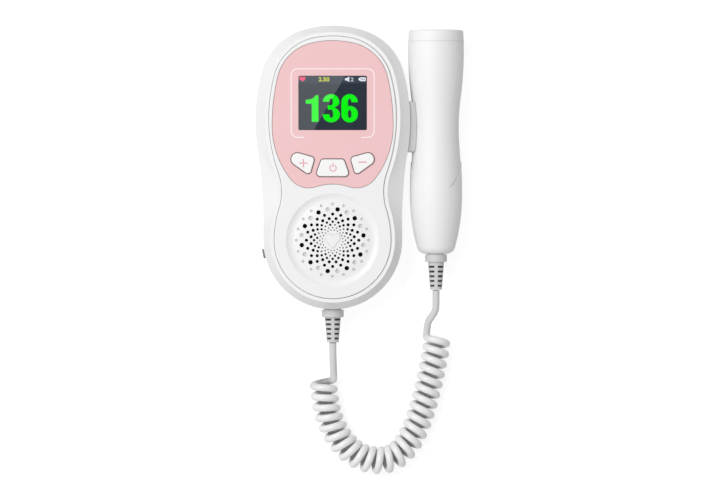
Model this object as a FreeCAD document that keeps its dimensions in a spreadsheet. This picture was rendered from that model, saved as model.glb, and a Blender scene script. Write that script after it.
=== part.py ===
import FreeCAD, Part
import math
import operator
import os

import Sketcher

# Pocket fetal doppler monitor.  The main unit lies on its flat back with the face up (+Z) and its
# display end towards +Y.  The ultrasound probe rests against a saddle on the unit's +X side, and a
# curly cord joins the two.  Origin: centre of the flat back.  Millimetres and degrees.

SIZES = [
    # heights of the main unit above its flat back
    ("unit_depth", 31.0), ("rim_drop", 0.5), ("shoulder_drop", 8.5), ("parting_level", 13.6),
    ("wall", 2.2), ("back_wall", 2.0), ("back_edge_radius", 9.0), ("rim_width", 1.75),
    ("seam_round", 0.3), ("cavity_drop", 0.5),
    # plan outline of the housing: top arc, shoulders, upper sides, waist and round foot
    ("top_reach", 72.0), ("top_radius", 52.2), ("corner_radius", 30.4),
    ("upper_half_width", 39.3), ("upper_radius", 96.3), ("upper_reach", 23.5),
    ("waist_radius", 221.6), ("foot_radius", 35.25), ("foot_reach", -36.8),
    # plan outline of the raised face panel, an hourglass
    ("face_top_reach", 66.6), ("face_top_radius", 47.0), ("face_corner_radius", 26.5),
    ("face_half_width", 32.5), ("face_side_radius", 82.0), ("face_side_reach", 25.0),
    ("face_waist_radius", 29.0), ("face_foot_half_width", 29.8), ("face_foot_side_radius", 52.0),
    ("face_foot_reach", -37.0),
    ("panel_thickness", 2.0), ("panel_gap", 0.25), ("panel_edge_radius", 0.5),
    ("ledge_width", 2.6), ("ledge_thickness", 1.4),
    # plan outline of the coloured face film round the display and the buttons
    ("film_top_reach", 64.2), ("film_top_radius", 46.0), ("film_corner_radius", 23.0),
    ("film_half_width", 30.8), ("film_side_radius", 110.0), ("film_side_reach", 21.0),
    ("film_low_radius", 44.0), ("film_lobe_radius", 12.0), ("film_arch_radius", 26.0),
    ("film_arch_reach", -8.75), ("film_thickness", 0.4), ("film_fit", 0.2),
    # display
    ("window_width", 34.7), ("window_height", 27.6), ("window_reach", 32.5), ("window_corner", 0.8),
    ("lens_lap", 1.25), ("lens_thickness", 1.6), ("lens_fit", 0.1), ("lens_corner", 1.5),
    ("glass_lap", 2.1), ("glass_thickness", 2.05), ("glass_gap", 0.05), ("glass_fit", 0.1),
    ("tray_wall", 1.6), ("tray_floor", 1.2), ("tray_leg_radius", 1.3),
    # buttons and their switches
    ("button_gap", 0.35), ("button_proud", 0.9), ("button_edge", 0.5), ("flange_lip", 0.9),
    ("flange_thickness", 1.0), ("flange_play", 0.1), ("stem_radius", 1.5), ("button_travel", 0.5),
    ("stem_gap", 0.1), ("switch_side", 6.0), ("switch_height", 3.5), ("plunger_radius", 1.7),
    ("plunger_height", 0.8),
    ("outer_button_x", 17.8), ("outer_button_y", 4.0), ("outer_button_radius", 3.1),
    ("inner_button_x", 11.15), ("inner_button_y", 3.6), ("inner_button_radius", 1.7),
    ("low_button_x", 12.55), ("low_button_y", -1.5), ("low_button_radius", 1.65),
    ("power_top_x", 4.5), ("power_top_y", 2.35), ("power_top_radius", 1.6),
    ("power_low_x", 6.15), ("power_low_y", -2.85), ("power_low_radius", 1.8),
    ("stem_shift", 0.8),
    # circuit board and earphone socket
    ("board_drop", 11.6), ("board_thickness", 1.6), ("board_half_width", 29.5),
    ("board_low", -14.0), ("board_top", 52.0), ("board_corner", 6.0),
    ("arm_inner", 23.5), ("arm_low", -50.0), ("arm_corner", 2.0),
    ("board_post_radius", 2.6), ("board_post_upper_x", 27.0), ("board_post_upper_y", 45.0),
    ("board_post_lower_x", 27.3), ("board_post_lower_y", 6.0), ("board_hole_play", 0.15),
    ("jack_turn", 191.3), ("jack_radius", 2.4), ("jack_bore_radius", 1.8), ("jack_height", 5.2),
    ("jack_width", 6.0), ("jack_depth", 12.0), ("jack_proud", 1.0), ("jack_floor", 1.0),
    ("jack_play", 0.15), ("jack_setback", 0.3),
    # loudspeaker behind the grille
    ("speaker_reach", -37.0), ("speaker_radius", 19.5), ("speaker_opening", 16.5),
    ("speaker_flange", 1.0), ("speaker_neck_radius", 10.5), ("speaker_neck_drop", 5.2),
    ("speaker_sheet", 0.8), ("magnet_radius", 10.0), ("magnet_height", 3.7),
    ("cone_sheet", 0.5), ("cone_gap", 1.0), ("dome_radius", 4.2),
    ("gasket_thickness", 0.3), ("gasket_width", 2.5), ("pillar_radius", 6.0), ("pillar_gap", 0.2),
    # grille dish in the lower face
    ("dish_radius", 23.6), ("dish_groove_radius", 20.45), ("dish_wall_curve", 5.5),
    ("dish_crown", 42.0), ("dish_depth", 0.4), ("dish_backing_radius", 21.6), ("dish_backing", 1.0),
    ("ring_a_radius", 7.9), ("ring_a_hole", 0.6), ("ring_b_radius", 9.4), ("ring_b_hole", 0.65),
    ("ring_c_radius", 11.05), ("ring_c_hole", 0.8), ("ring_d_radius", 13.25), ("ring_d_hole", 0.8),
    ("ring_e_radius", 15.8), ("ring_e_hole", 1.15),
    # blind dimples between and round the sound holes, and the heart in their middle
    ("ring_f_radius", 15.8), ("ring_f_hole", 1.1), ("ring_g_radius", 18.3), ("ring_g_hole", 0.75),
    ("dimple_depth", 1.0),
    ("ring_j_radius", 7.9), ("ring_j_hole", 0.5), ("ring_k_radius", 6.5), ("ring_k_hole", 0.4),
    ("ring_l_radius", 5.2), ("ring_l_hole", 0.35), ("dot_depth", 0.8),
    ("heart_lobe_x", 1.85), ("heart_lobe_y", 1.3), ("heart_lobe_radius", 1.95),
    ("heart_tip_y", -3.45), ("heart_tip_radius", 0.45), ("heart_height", 0.35),
    # battery bay, door and cells
    ("bay_half_width", 15.25), ("bay_low", -17.0), ("bay_top", 39.0), ("bay_height", 17.2),
    ("bay_wall", 3.0), ("bay_roof", 1.3), ("door_lip", 1.8), ("door_thickness", 1.8),
    ("door_gap", 0.25), ("pivot_radius", 0.65), ("pivot_play", 0.08), ("pivot_length", 0.9),
    ("grip_radius", 5.0), ("grip_depth", 0.7), ("grip_inset", 7.5),
    ("cell_radius", 7.25), ("cell_length", 49.5),
    ("cell_nub_radius", 2.75), ("cell_nub_length", 1.0), ("cell_pitch", 15.0), ("cell_floor", 2.4),
    ("contact_sheet", 0.4), ("contact_side", 11.0), ("contact_width", 6.6), ("contact_rise", 2.2),
    ("contact_play", 0.3),
    # case screws and their posts
    ("post_radius", 3.0), ("upper_post_x", 21.3), ("upper_post_y", 58.0),
    ("lower_post_x", 19.0), ("lower_post_y", -57.6),
    ("screw_radius", 1.25), ("screw_head_radius", 2.3), ("screw_head", 1.6), ("screw_sink", 5.0),
    ("screw_length", 15.0), ("screw_play", 0.03), ("sink_play", 0.3), ("pilot_spare", 0.5),
    ("small_screw_radius", 0.95), ("small_head_radius", 1.8), ("small_head", 1.2),
    ("small_screw_length", 6.5),
    # strain reliefs and cord
    ("relief_flange_radius", 5.5), ("relief_flange", 1.5), ("relief_neck_radius", 4.4),
    ("relief_fit", 0.15), ("relief_gap", 0.3), ("relief_sag", 0.6), ("relief_collar_radius", 5.55),
    ("relief_collar", 3.7), ("relief_length", 12.9), ("relief_root_radius", 4.1),
    ("relief_tip_radius", 3.0), ("relief_core_radius", 2.1), ("relief_slot", 1.05),
    ("relief_pitch", 2.4), ("relief_first_slot", 0.75), ("relief_spine", 1.7),
    ("relief_web", 1.0), ("probe_relief_plain", 1.3),
    ("cord_radius", 1.85), ("coil_radius", 7.2), ("coil_level", 7.25),
    # probe: a turned form about an axis parallel to Y
    ("probe_x", 52.5), ("probe_level", 14.6), ("probe_top", 69.9), ("cap_seam", 64.2),
    ("cap_gap", 0.2), ("cap_taper", 0.15), ("cap_edge_radius", 1.0),
    ("seal_inset", 0.4), ("seal_play", 0.1), ("head_radius", 14.2), ("head_reach", 59.5),
    ("head_curve", 180.0), ("probe_waist_radius", 11.6), ("probe_waist_reach", 20.0),
    ("grip_reach", -14.0), ("grip_half", 12.9), ("grip_low_curve", 103.0), ("probe_end", -43.9),
    ("probe_end_radius", 4.5), ("grip_step", 0.4), ("grip_step_fade", 0.25),
    ("grip_line_reach", 2.9), ("grip_line_drop", 15.5), ("grip_groove", 0.7),
    ("grip_groove_depth", 0.7), ("grip_groove_fade", 0.45), ("probe_wall", 2.0),
    ("spigot_radius", 11.7), ("spigot_length", 4.0), ("cap_sheet", 2.0),
    ("crystal_radius", 9.4), ("crystal_thickness", 2.0), ("crystal_slot", 0.8),
    ("crystal_gap", 0.05), ("probe_board_half_width", 7.0), ("probe_board_thickness", 1.2),
    ("probe_board_top", 56.0), ("probe_board_low", -34.0), ("probe_board_corner", 2.0),
    ("probe_board_play", 0.3), ("keeper_thickness", 0.8), ("keeper_height", 8.0),
    ("keeper_length", 12.0), ("keeper_gap", 0.1),
    ("probe_screw_upper", 44.0), ("probe_screw_lower", -26.0), ("probe_post_radius", 2.6),
    ("probe_screw_sink", 4.5), ("probe_screw_length", 11.0),
    # saddle that holds the probe at its waist
    ("dock_low", 7.8), ("dock_top", 33.6), ("dock_half_height", 6.45), ("dock_fit", 0.05),
    ("dock_clearance", 0.3), ("dock_corner", 1.2), ("peg_radius", 1.2), ("peg_fit", 0.05),
    ("peg_spread", 9.0), ("peg_rise", 3.4), ("peg_end", 0.6),
    ("hold_magnet_thickness", 2.0), ("hold_magnet_length", 12.0), ("hold_magnet_height", 8.0),
    ("hold_magnet_corner", 0.5), ("hold_magnet_gap", 0.5),
]

SLOTS_PER_RELIEF = 5
GRILLE_SECTORS = 10
SOUND_HOLES = [("e", 8.9), ("d", 0.0), ("d", 18.0), ("c", 9.0), ("c", 27.0), ("b", 0.0), ("b", 18.0),
               ("a", 27.0)]
DIMPLES = [("f", 26.9), ("g", 0.0), ("g", 18.0)]
DOTS = [("j", 9.0), ("k", 0.0), ("k", 18.0), ("l", 9.0), ("l", 27.0)]

MAIN_LEAD_ROUTE = [(0.0, -89.0, 13.6), (0.0, -95.4, 12.5), (0.3, -102.2, 9.3), (0.5, -108.2, 7.25)]
COIL_ROUTE = [(-4.9, -108.2), (-4.3, -118.4), (-1.5, -129.2), (3.5, -138.8), (10.6, -146.0),
              (19.8, -149.3), (29.2, -148.9), (36.4, -143.4), (41.6, -134.4), (45.3, -124.2),
              (48.2, -113.4), (50.6, -102.6), (52.6, -92.8), (53.0, -86.6)]
PROBE_LEAD_ROUTE = [(52.5, -62.4, 14.6), (52.5, -67.6, 14.1), (52.5, -73.2, 12.9),
                    (48.4, -78.0, 10.4), (47.9, -83.0, 8.2), (47.8, -86.6, 7.25)]

OPERATIONS = {"+": operator.add, "-": operator.sub, "*": operator.mul, "/": operator.truediv}


class Size:
    """A number that remembers the spreadsheet expression it comes from."""

    def __init__(self, value, text):
        self.value = float(value)
        self.text = text

    def __add__(self, other):
        return combine(self, "+", other)

    def __radd__(self, other):
        return combine(other, "+", self)

    def __sub__(self, other):
        return combine(self, "-", other)

    def __rsub__(self, other):
        return combine(other, "-", self)

    def __mul__(self, other):
        return combine(self, "*", other)

    __rmul__ = __mul__

    def __truediv__(self, other):
        return combine(self, "/", other)

    def __neg__(self):
        return combine(0, "-", self)


def sized(number):
    """Give a plain number the same form as a spreadsheet size."""
    return number if isinstance(number, Size) else Size(number, repr(float(number)))


def combine(left, sign, right):
    left, right = sized(left), sized(right)
    value = OPERATIONS[sign](left.value, right.value)
    return Size(value, "(%s %s %s)" % (left.text, sign, right.text))


def root(size):
    """Square root that keeps its expression."""
    return Size(math.sqrt(size.value), "sqrt(%s)" % size.text)


class SizeSheet:
    """The spreadsheet of driving sizes, read as attributes."""

    def __init__(self, document, rows):
        sheet = document.addObject("Spreadsheet::Sheet", "Sizes")
        for number, (alias, value) in enumerate(rows, start=1):
            sheet.set("A%d" % number, alias)
            sheet.set("B%d" % number, str(value))
            sheet.setAlias("B%d" % number, alias)
            setattr(self, alias, Size(value, "Sizes." + alias))


doc = FreeCAD.newDocument("FetalDoppler")
S = SizeSheet(doc, SIZES)
doc.recompute()

UP = FreeCAD.Vector(0, 0, 1)
ALONG_X = FreeCAD.Rotation(FreeCAD.Vector(0, 1, 0), 90)
ALONG_Y = FreeCAD.Rotation(FreeCAD.Vector(1, 0, 0), -90)


def point(x, y, z=0.0):
    return FreeCAD.Vector(sized(x).value, sized(y).value, sized(z).value)


def bind(thing, **sizes):
    """Tie properties of an object to the expressions of their sizes."""
    for name, size in sizes.items():
        thing.setExpression(name.replace("__", "."), sized(size).text)


def place(thing, x=0, y=0, z=0):
    """Tie the position of an object to sizes."""
    bind(thing, Placement__Base__x=x, Placement__Base__y=y, Placement__Base__z=z)
    return thing


# ---------------------------------------------------------------- sketches

class Bend:
    """One arc in the right half of a mirrored outline, from the top down.

    hold says which coordinates of the centre are given; the rest follows from the neighbours.
    """

    def __init__(self, radius, centre=None, hold="", hollow=False):
        self.radius = radius
        self.centre = centre
        self.hold = hold
        self.hollow = hollow


class Side:
    """A straight upright stretch in the right half of a mirrored outline."""

    def __init__(self, x):
        self.x = x
        self.hold = ""


def reach(one, other):
    """Distance between the centres of two arcs that meet smoothly."""
    first, second = one.radius.value, other.radius.value
    return abs(first - second) if one.hollow == other.hollow else first + second


def crossing(first, first_reach, second, second_reach, left):
    """The crossing of two circles on the left or the right of the way between their centres."""
    across = math.dist(first, second)
    along = (first_reach ** 2 - second_reach ** 2 + across ** 2) / (2 * across)
    height = math.sqrt(first_reach ** 2 - along ** 2) * (1 if left else -1)
    ux, uy = (second[0] - first[0]) / across, (second[1] - first[1]) / across
    return (first[0] + along * ux - height * uy, first[1] + along * uy + height * ux)


def bend_centres(parts):
    """Centres of all arcs of a half outline, with None for its straight sides."""
    centres = [None if isinstance(part, Side) or part.centre is None
               else (sized(part.centre[0]).value, sized(part.centre[1]).value) for part in parts]
    for index, part in enumerate(parts):
        if isinstance(part, Side) or part.centre is not None:
            continue
        before, after = parts[index - 1], parts[index + 1]
        known = centres[index - 1]
        if isinstance(after, Side):
            x = after.x.value + part.radius.value
            fall = math.sqrt(reach(before, part) ** 2 - (x - known[0]) ** 2)
            centres[index] = (x, known[1] - fall)
        else:
            centres[index] = crossing(known, reach(before, part), centres[index + 1],
                                      reach(part, after), part.hollow or after.hollow)
    return centres


def joint(one, one_centre, other, other_centre):
    """Point where two neighbours of a half outline meet smoothly."""
    if isinstance(other, Side):
        return (other.x.value, one_centre[1])
    if isinstance(one, Side):
        return (one.x.value, other_centre[1])
    if one.hollow == other.hollow and other.radius.value > one.radius.value:
        one, one_centre, other_centre = other, other_centre, one_centre
    gap = math.dist(one_centre, other_centre)
    share = one.radius.value / gap
    return (one_centre[0] + share * (other_centre[0] - one_centre[0]),
            one_centre[1] + share * (other_centre[1] - one_centre[1]))


class Outline:
    """A sketch on one of a body's own origin planes, with every dimension bound to the sheet."""

    def __init__(self, body, name, plane="XY", level=0, x=0, y=0):
        self.sketch = body.newObject("Sketcher::SketchObject", name)
        role = plane + "_Plane"
        support = [feature for feature in body.Origin.OriginFeatures if feature.Role == role][0]
        self.sketch.AttachmentSupport = [(support, "")]
        self.sketch.MapMode = "FlatFace"
        bind(self.sketch, AttachmentOffset__Base__x=x, AttachmentOffset__Base__y=y,
             AttachmentOffset__Base__z=level)

    def add(self, geometry):
        return self.sketch.addGeometry(geometry, False)

    def rule(self, kind, *where):
        return self.sketch.addConstraint(Sketcher.Constraint(kind, *where))

    def measure(self, kind, size, *where):
        """Add one dimension and bind it to its size."""
        size = sized(size)
        index = self.rule(kind, *where, size.value)
        name = "%s%d" % (kind, index)
        self.sketch.renameConstraint(index, name)
        self.sketch.setExpression("Constraints." + name, size.text)

    def pin(self, item, spot, x, y):
        """Hold one point of the sketch; a plain zero puts it on the axis."""
        if isinstance(x, Size):
            self.measure("DistanceX", x, -1, 1, item, spot)
        elif x == 0:
            self.rule("PointOnObject", item, spot, -2)
        if isinstance(y, Size):
            self.measure("DistanceY", y, -1, 1, item, spot)
        elif y == 0:
            self.rule("PointOnObject", item, spot, -1)

    def circle(self, x, y, radius):
        item = self.add(Part.Circle(point(x, y), UP, radius.value))
        self.measure("Radius", radius, item)
        self.pin(item, 3, x, y)
        return self

    def polygon(self, *corners):
        """A closed figure of straight lines through the given corners."""
        items = [self.add(Part.LineSegment(point(*corners[index - 1]), point(*corners[index])))
                 for index in range(len(corners))]
        for index, item in enumerate(items):
            self.rule("Coincident", items[index - 1], 2, item, 1)
            self.pin(item, 2, *corners[index])
        return self

    def rectangle(self, left, low, right, top):
        return self.polygon((left, low), (right, low), (right, top), (left, top))

    def hull(self, *discs):
        """The taut band round discs (x, y, radius) that are listed anticlockwise."""
        normals = []
        for index, (x, y, radius) in enumerate(discs):
            after_x, after_y, after_radius = discs[(index + 1) % len(discs)]
            start, end = point(x, y), point(after_x, after_y)
            heading = math.atan2(end.y - start.y, end.x - start.x)
            lean = (sized(radius).value - sized(after_radius).value) / (end - start).Length
            normals.append(heading - math.acos(lean))
        arcs = []
        for index, (x, y, radius) in enumerate(discs):
            first, last = normals[index - 1], normals[index]
            while last < first:
                last += 2 * math.pi
            circle = Part.Circle(point(x, y), UP, sized(radius).value)
            arcs.append(self.add(Part.ArcOfCircle(circle, first, last)))
        for index, (x, y, radius) in enumerate(discs):
            after = (index + 1) % len(discs)
            lean = FreeCAD.Vector(math.cos(normals[index]), math.sin(normals[index]), 0)
            start = point(x, y) + lean * sized(radius).value
            end = point(*discs[after][:2]) + lean * sized(discs[after][2]).value
            line = self.add(Part.LineSegment(start, end))
            self.rule("Tangent", arcs[index], 2, line, 1)
            self.rule("Tangent", line, 2, arcs[after], 1)
            self.measure("Radius", radius, arcs[index])
            self.pin(arcs[index], 3, x, y)
        return self

    def rounded(self, left, low, right, top, radius):
        """A rectangle with round corners."""
        return self.hull((left + radius, low + radius, radius), (right - radius, low + radius, radius),
                         (right - radius, top - radius, radius), (left + radius, top - radius, radius))

    def bend(self, part, centre, start, end):
        """Draw one arc or side; give its number and the ends where it starts and stops."""
        if isinstance(part, Side):
            item = self.add(Part.LineSegment(point(*start), point(*end)))
            self.rule("Vertical", item)
            return item, 1, 2
        first, last = (end, start) if part.hollow else (start, end)
        first_angle = math.atan2(first[1] - centre[1], first[0] - centre[0])
        last_angle = math.atan2(last[1] - centre[1], last[0] - centre[0])
        if last_angle < first_angle:
            last_angle += 2 * math.pi
        circle = Part.Circle(point(*centre), UP, part.radius.value)
        item = self.add(Part.ArcOfCircle(circle, first_angle, last_angle))
        self.measure("Radius", part.radius, item)
        side = -1 if start[0] < 0 and end[0] < 0 else 1
        if "x" in part.hold and isinstance(part.centre[0], Size):
            self.measure("DistanceX", part.centre[0] * side, -1, 1, item, 3)
        elif "x" in part.hold:
            self.rule("PointOnObject", item, 3, -2)
        if "y" in part.hold:
            self.measure("DistanceY", part.centre[1], -1, 1, item, 3)
        return (item, 2, 1) if part.hollow else (item, 1, 2)

    def mirrored(self, parts):
        """A closed outline, the same on both sides, from the parts of its right half."""
        centres = bend_centres(parts)
        joints = [joint(parts[n], centres[n], parts[n + 1], centres[n + 1])
                  for n in range(len(parts) - 1)]
        last = len(parts) - 1
        walk = [(parts[0], centres[0], joints[0], flip(joints[0]))]
        for n in range(1, last):
            walk.append((parts[n], flip(centres[n]), flip(joints[n - 1]), flip(joints[n])))
        walk.append((parts[last], centres[last], flip(joints[-1]), joints[-1]))
        for n in range(last - 1, 0, -1):
            walk.append((parts[n], centres[n], joints[n], joints[n - 1]))
        drawn = [self.bend(*step) for step in walk]
        for index, (item, start, _) in enumerate(drawn):
            before, _, end = drawn[index - 1]
            self.rule("Tangent", before, end, item, start)
        return self


def flip(spot):
    """Mirror image of a point about the Y axis."""
    return None if spot is None else (-spot[0], spot[1])


# ---------------------------------------------------------------- features

def new_body(label, x=0, y=0, z=0):
    body = doc.addObject("PartDesign::Body", label)
    body.Label = label
    return place(body, x, y, z)


def pad(body, outline, length, reverse=False, middle=False):
    feature = body.newObject("PartDesign::Pad", outline.sketch.Name + "_pad")
    feature.Profile = outline.sketch
    bind(feature, Length=length)
    feature.Reversed = reverse
    if middle:
        feature.SideType = "Symmetric"
    return feature


def pocket(body, outline, length, reverse=False, middle=False):
    """Cut against the sketch's normal, or along it when reversed."""
    feature = body.newObject("PartDesign::Pocket", outline.sketch.Name + "_pocket")
    feature.Profile = outline.sketch
    bind(feature, Length=length)
    feature.Reversed = reverse
    if middle:
        feature.SideType = "Symmetric"
    return feature


def turn(body, outline, kind="Revolution", angle=360.0, reverse=False):
    """Revolve a sketch about its own upright axis, or cut with it."""
    feature = body.newObject("PartDesign::" + kind, outline.sketch.Name + "_turn")
    feature.Profile = outline.sketch
    feature.ReferenceAxis = (outline.sketch, ["V_Axis"])
    feature.Angle = angle
    feature.Reversed = reverse
    return feature


def loft(body, outlines, kind):
    feature = body.newObject("PartDesign::" + kind, outlines[0].sketch.Name + "_loft")
    feature.Profile = outlines[0].sketch
    feature.Sections = [outline.sketch for outline in outlines[1:]]
    feature.Ruled = len(outlines) == 2
    return feature


def fillet(body, level, radius, axis="Z"):
    """Round all edges of the body's tip that lie flat at one place along an axis."""
    doc.recompute()
    base = body.Tip
    names = ["Edge%d" % (number + 1) for number, edge in enumerate(base.Shape.Edges)
             if abs(getattr(edge.BoundBox, axis + "Min") - level.value) < 1e-3
             and abs(getattr(edge.BoundBox, axis + "Max") - level.value) < 1e-3]
    feature = body.newObject("PartDesign::Fillet", base.Name + "_round")
    feature.Base = (base, names)
    bind(feature, Radius=radius)
    return feature


def hollow(body, tool):
    """Cut one body with another."""
    feature = body.newObject("PartDesign::Boolean", tool.Name + "_cut")
    feature.Type = "Cut"
    feature.setObjects([tool])
    return feature


def bore(body, name, rotation, radius, length, x=0, y=0, z=0):
    """Drill a round hole whose axis starts at a point."""
    feature = body.newObject("PartDesign::SubtractiveCylinder", name)
    feature.Placement.Rotation = rotation
    bind(feature, Radius=radius, Height=length)
    place(feature, x, y, z)
    return feature


def group(label, members):
    """One node that holds several separate solids."""
    compound = doc.addObject("Part::Compound", label)
    compound.Links = members
    compound.Label = label
    return compound


# ---------------------------------------------------------------- outlines of the main unit

def housing(inset=0):
    """Half outline of the housing, pulled in by an inset."""
    return [Bend(S.top_radius - inset, (0, S.top_reach - S.top_radius), "xy"),
            Bend(S.corner_radius - inset),
            Bend(S.upper_radius - inset, (S.upper_half_width - S.upper_radius, S.upper_reach), "xy"),
            Bend(S.waist_radius + inset, hollow=True),
            Side(S.foot_radius - inset),
            Bend(S.foot_radius - inset, (0, S.foot_reach), "xy")]


def face(inset=0):
    """Half outline of the raised face, pulled in by an inset."""
    foot_side_x = S.face_foot_half_width - S.face_foot_side_radius
    return [Bend(S.face_top_radius - inset, (0, S.face_top_reach - S.face_top_radius), "xy"),
            Bend(S.face_corner_radius - inset),
            Bend(S.face_side_radius - inset,
                 (S.face_half_width - S.face_side_radius, S.face_side_reach), "xy"),
            Bend(S.face_waist_radius + inset, hollow=True),
            Bend(S.face_foot_side_radius - inset, (foot_side_x, S.face_foot_reach), "y"),
            Bend(S.face_foot_half_width - inset, (0, S.face_foot_reach), "xy")]


def film(inset=0):
    """Half outline of the coloured film, pulled in by an inset."""
    return [Bend(S.film_top_radius - inset, (0, S.film_top_reach - S.film_top_radius), "xy"),
            Bend(S.film_corner_radius - inset),
            Bend(S.film_side_radius - inset,
                 (S.film_half_width - S.film_side_radius, S.film_side_reach), "xy"),
            Bend(S.film_low_radius - inset,
                 (S.film_half_width - S.film_low_radius, S.film_side_reach), "y"),
            Bend(S.film_lobe_radius - inset),
            Bend(S.film_arch_radius + inset, (0, S.film_arch_reach - S.film_arch_radius), "xy",
                 hollow=True)]


def button_discs(side, grow):
    """Discs whose hull is the plus button on side -1, or the minus button on side 1."""
    outer = (S.outer_button_x * side, S.outer_button_y, S.outer_button_radius + grow)
    inner = (S.inner_button_x * side, S.inner_button_y, S.inner_button_radius + grow)
    low = (S.low_button_x * side, S.low_button_y, S.low_button_radius + grow)
    return [outer, low, inner] if side < 0 else [outer, inner, low]


def power_discs(grow):
    """Discs whose hull is the power button."""
    top, low = S.power_top_radius + grow, S.power_low_radius + grow
    return [(-S.power_low_x, S.power_low_y, low), (S.power_low_x, S.power_low_y, low),
            (S.power_top_x, S.power_top_y, top), (-S.power_top_x, S.power_top_y, top)]


RIM_LEVEL = S.unit_depth - S.rim_drop
SIDE_LEVEL = S.unit_depth - S.shoulder_drop
PANEL_SEAT = S.unit_depth - S.panel_thickness
BOARD_LEVEL = S.unit_depth - S.board_drop
BOARD_FACE = BOARD_LEVEL + S.board_thickness
CASE_POSTS = [(S.upper_post_x, S.upper_post_y), (-S.upper_post_x, S.upper_post_y),
              (S.lower_post_x, S.lower_post_y), (-S.lower_post_x, S.lower_post_y)]
BOARD_POSTS = [(S.board_post_upper_x, S.board_post_upper_y),
               (-S.board_post_upper_x, S.board_post_upper_y),
               (S.board_post_lower_x, S.board_post_lower_y),
               (-S.board_post_lower_x, S.board_post_lower_y)]
JACK_LEVEL = BOARD_LEVEL - S.jack_height / 2
HINGE_REACH = S.bay_top + S.door_lip - S.door_gap - S.door_thickness / 2
SPEAKER_FLANGE_TOP = PANEL_SEAT - S.dish_backing - S.gasket_thickness
MAGNET_TOP = SPEAKER_FLANGE_TOP - S.speaker_flange - S.speaker_neck_drop - S.speaker_sheet
MAGNET_LEVEL = MAGNET_TOP - S.magnet_height
UNIT_FOOT = S.foot_reach - S.foot_radius


def circles(outline, spots, radius):
    for x, y in spots:
        outline.circle(x, y, radius)
    return outline


# ---------------------------------------------------------------- housing

def rear_cover():
    body = new_body("rear_cover")
    pad(body, Outline(body, "rear_form").mirrored(housing()), S.parting_level)
    fillet(body, S.parting_level, S.seam_round)
    fillet(body, sized(0), S.back_edge_radius)
    hollow(body, rear_cavity())
    block = Outline(body, "bay_block", level=S.back_wall)
    block.rectangle(-S.bay_half_width - S.bay_wall, S.bay_low - S.bay_wall,
                    S.bay_half_width + S.bay_wall, S.bay_top + S.bay_wall)
    pad(body, block, S.bay_height + S.bay_roof - S.back_wall)
    bay = Outline(body, "bay").rectangle(-S.bay_half_width, S.bay_low, S.bay_half_width, S.bay_top)
    pocket(body, bay, S.bay_height, reverse=True)
    lip = S.bay_half_width + S.door_lip
    recess = Outline(body, "door_recess")
    recess.rectangle(-lip, S.bay_low - S.door_lip, lip, S.bay_top + S.door_lip)
    pocket(body, recess, S.back_wall, reverse=True)
    sockets = Outline(body, "pivot_sockets", plane="YZ")
    sockets.circle(HINGE_REACH, S.door_thickness / 2, S.pivot_radius + S.pivot_play)
    pocket(body, sockets, (lip - S.door_gap + S.pivot_length + S.pivot_play) * 2, middle=True)
    posts = circles(Outline(body, "rear_posts", level=S.back_wall), CASE_POSTS, S.post_radius)
    pad(body, posts, S.parting_level - S.back_wall)
    pillar = Outline(body, "speaker_pillar", level=S.back_wall)
    pillar.circle(0, S.speaker_reach, S.pillar_radius)
    pad(body, pillar, MAGNET_LEVEL - S.pillar_gap - S.back_wall)
    sinks = circles(Outline(body, "screw_sinks"), CASE_POSTS, S.screw_head_radius + S.sink_play)
    pocket(body, sinks, S.screw_sink + S.screw_head, reverse=True)
    holes = circles(Outline(body, "screw_holes"), CASE_POSTS, S.screw_radius + S.screw_play)
    pocket(body, holes, S.parting_level, reverse=True)
    relief_hole(body)
    return body


def rear_cavity():
    """Space inside the rear cover, its lower edge rounded to keep the wall even."""
    body = new_body("rear_cavity")
    inner = Outline(body, "rear_cavity_form", level=S.back_wall).mirrored(housing(S.wall))
    pad(body, inner, S.unit_depth)
    fillet(body, S.back_wall, S.back_edge_radius - S.wall)
    return body


def relief_hole(body):
    """Half of the round hole in the foot of the housing that grips the cord's strain relief."""
    bore(body, body.Name + "_relief_hole", ALONG_Y, S.relief_neck_radius + S.relief_fit,
         S.wall * 3, 0, UNIT_FOOT - S.wall, S.parting_level)


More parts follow.
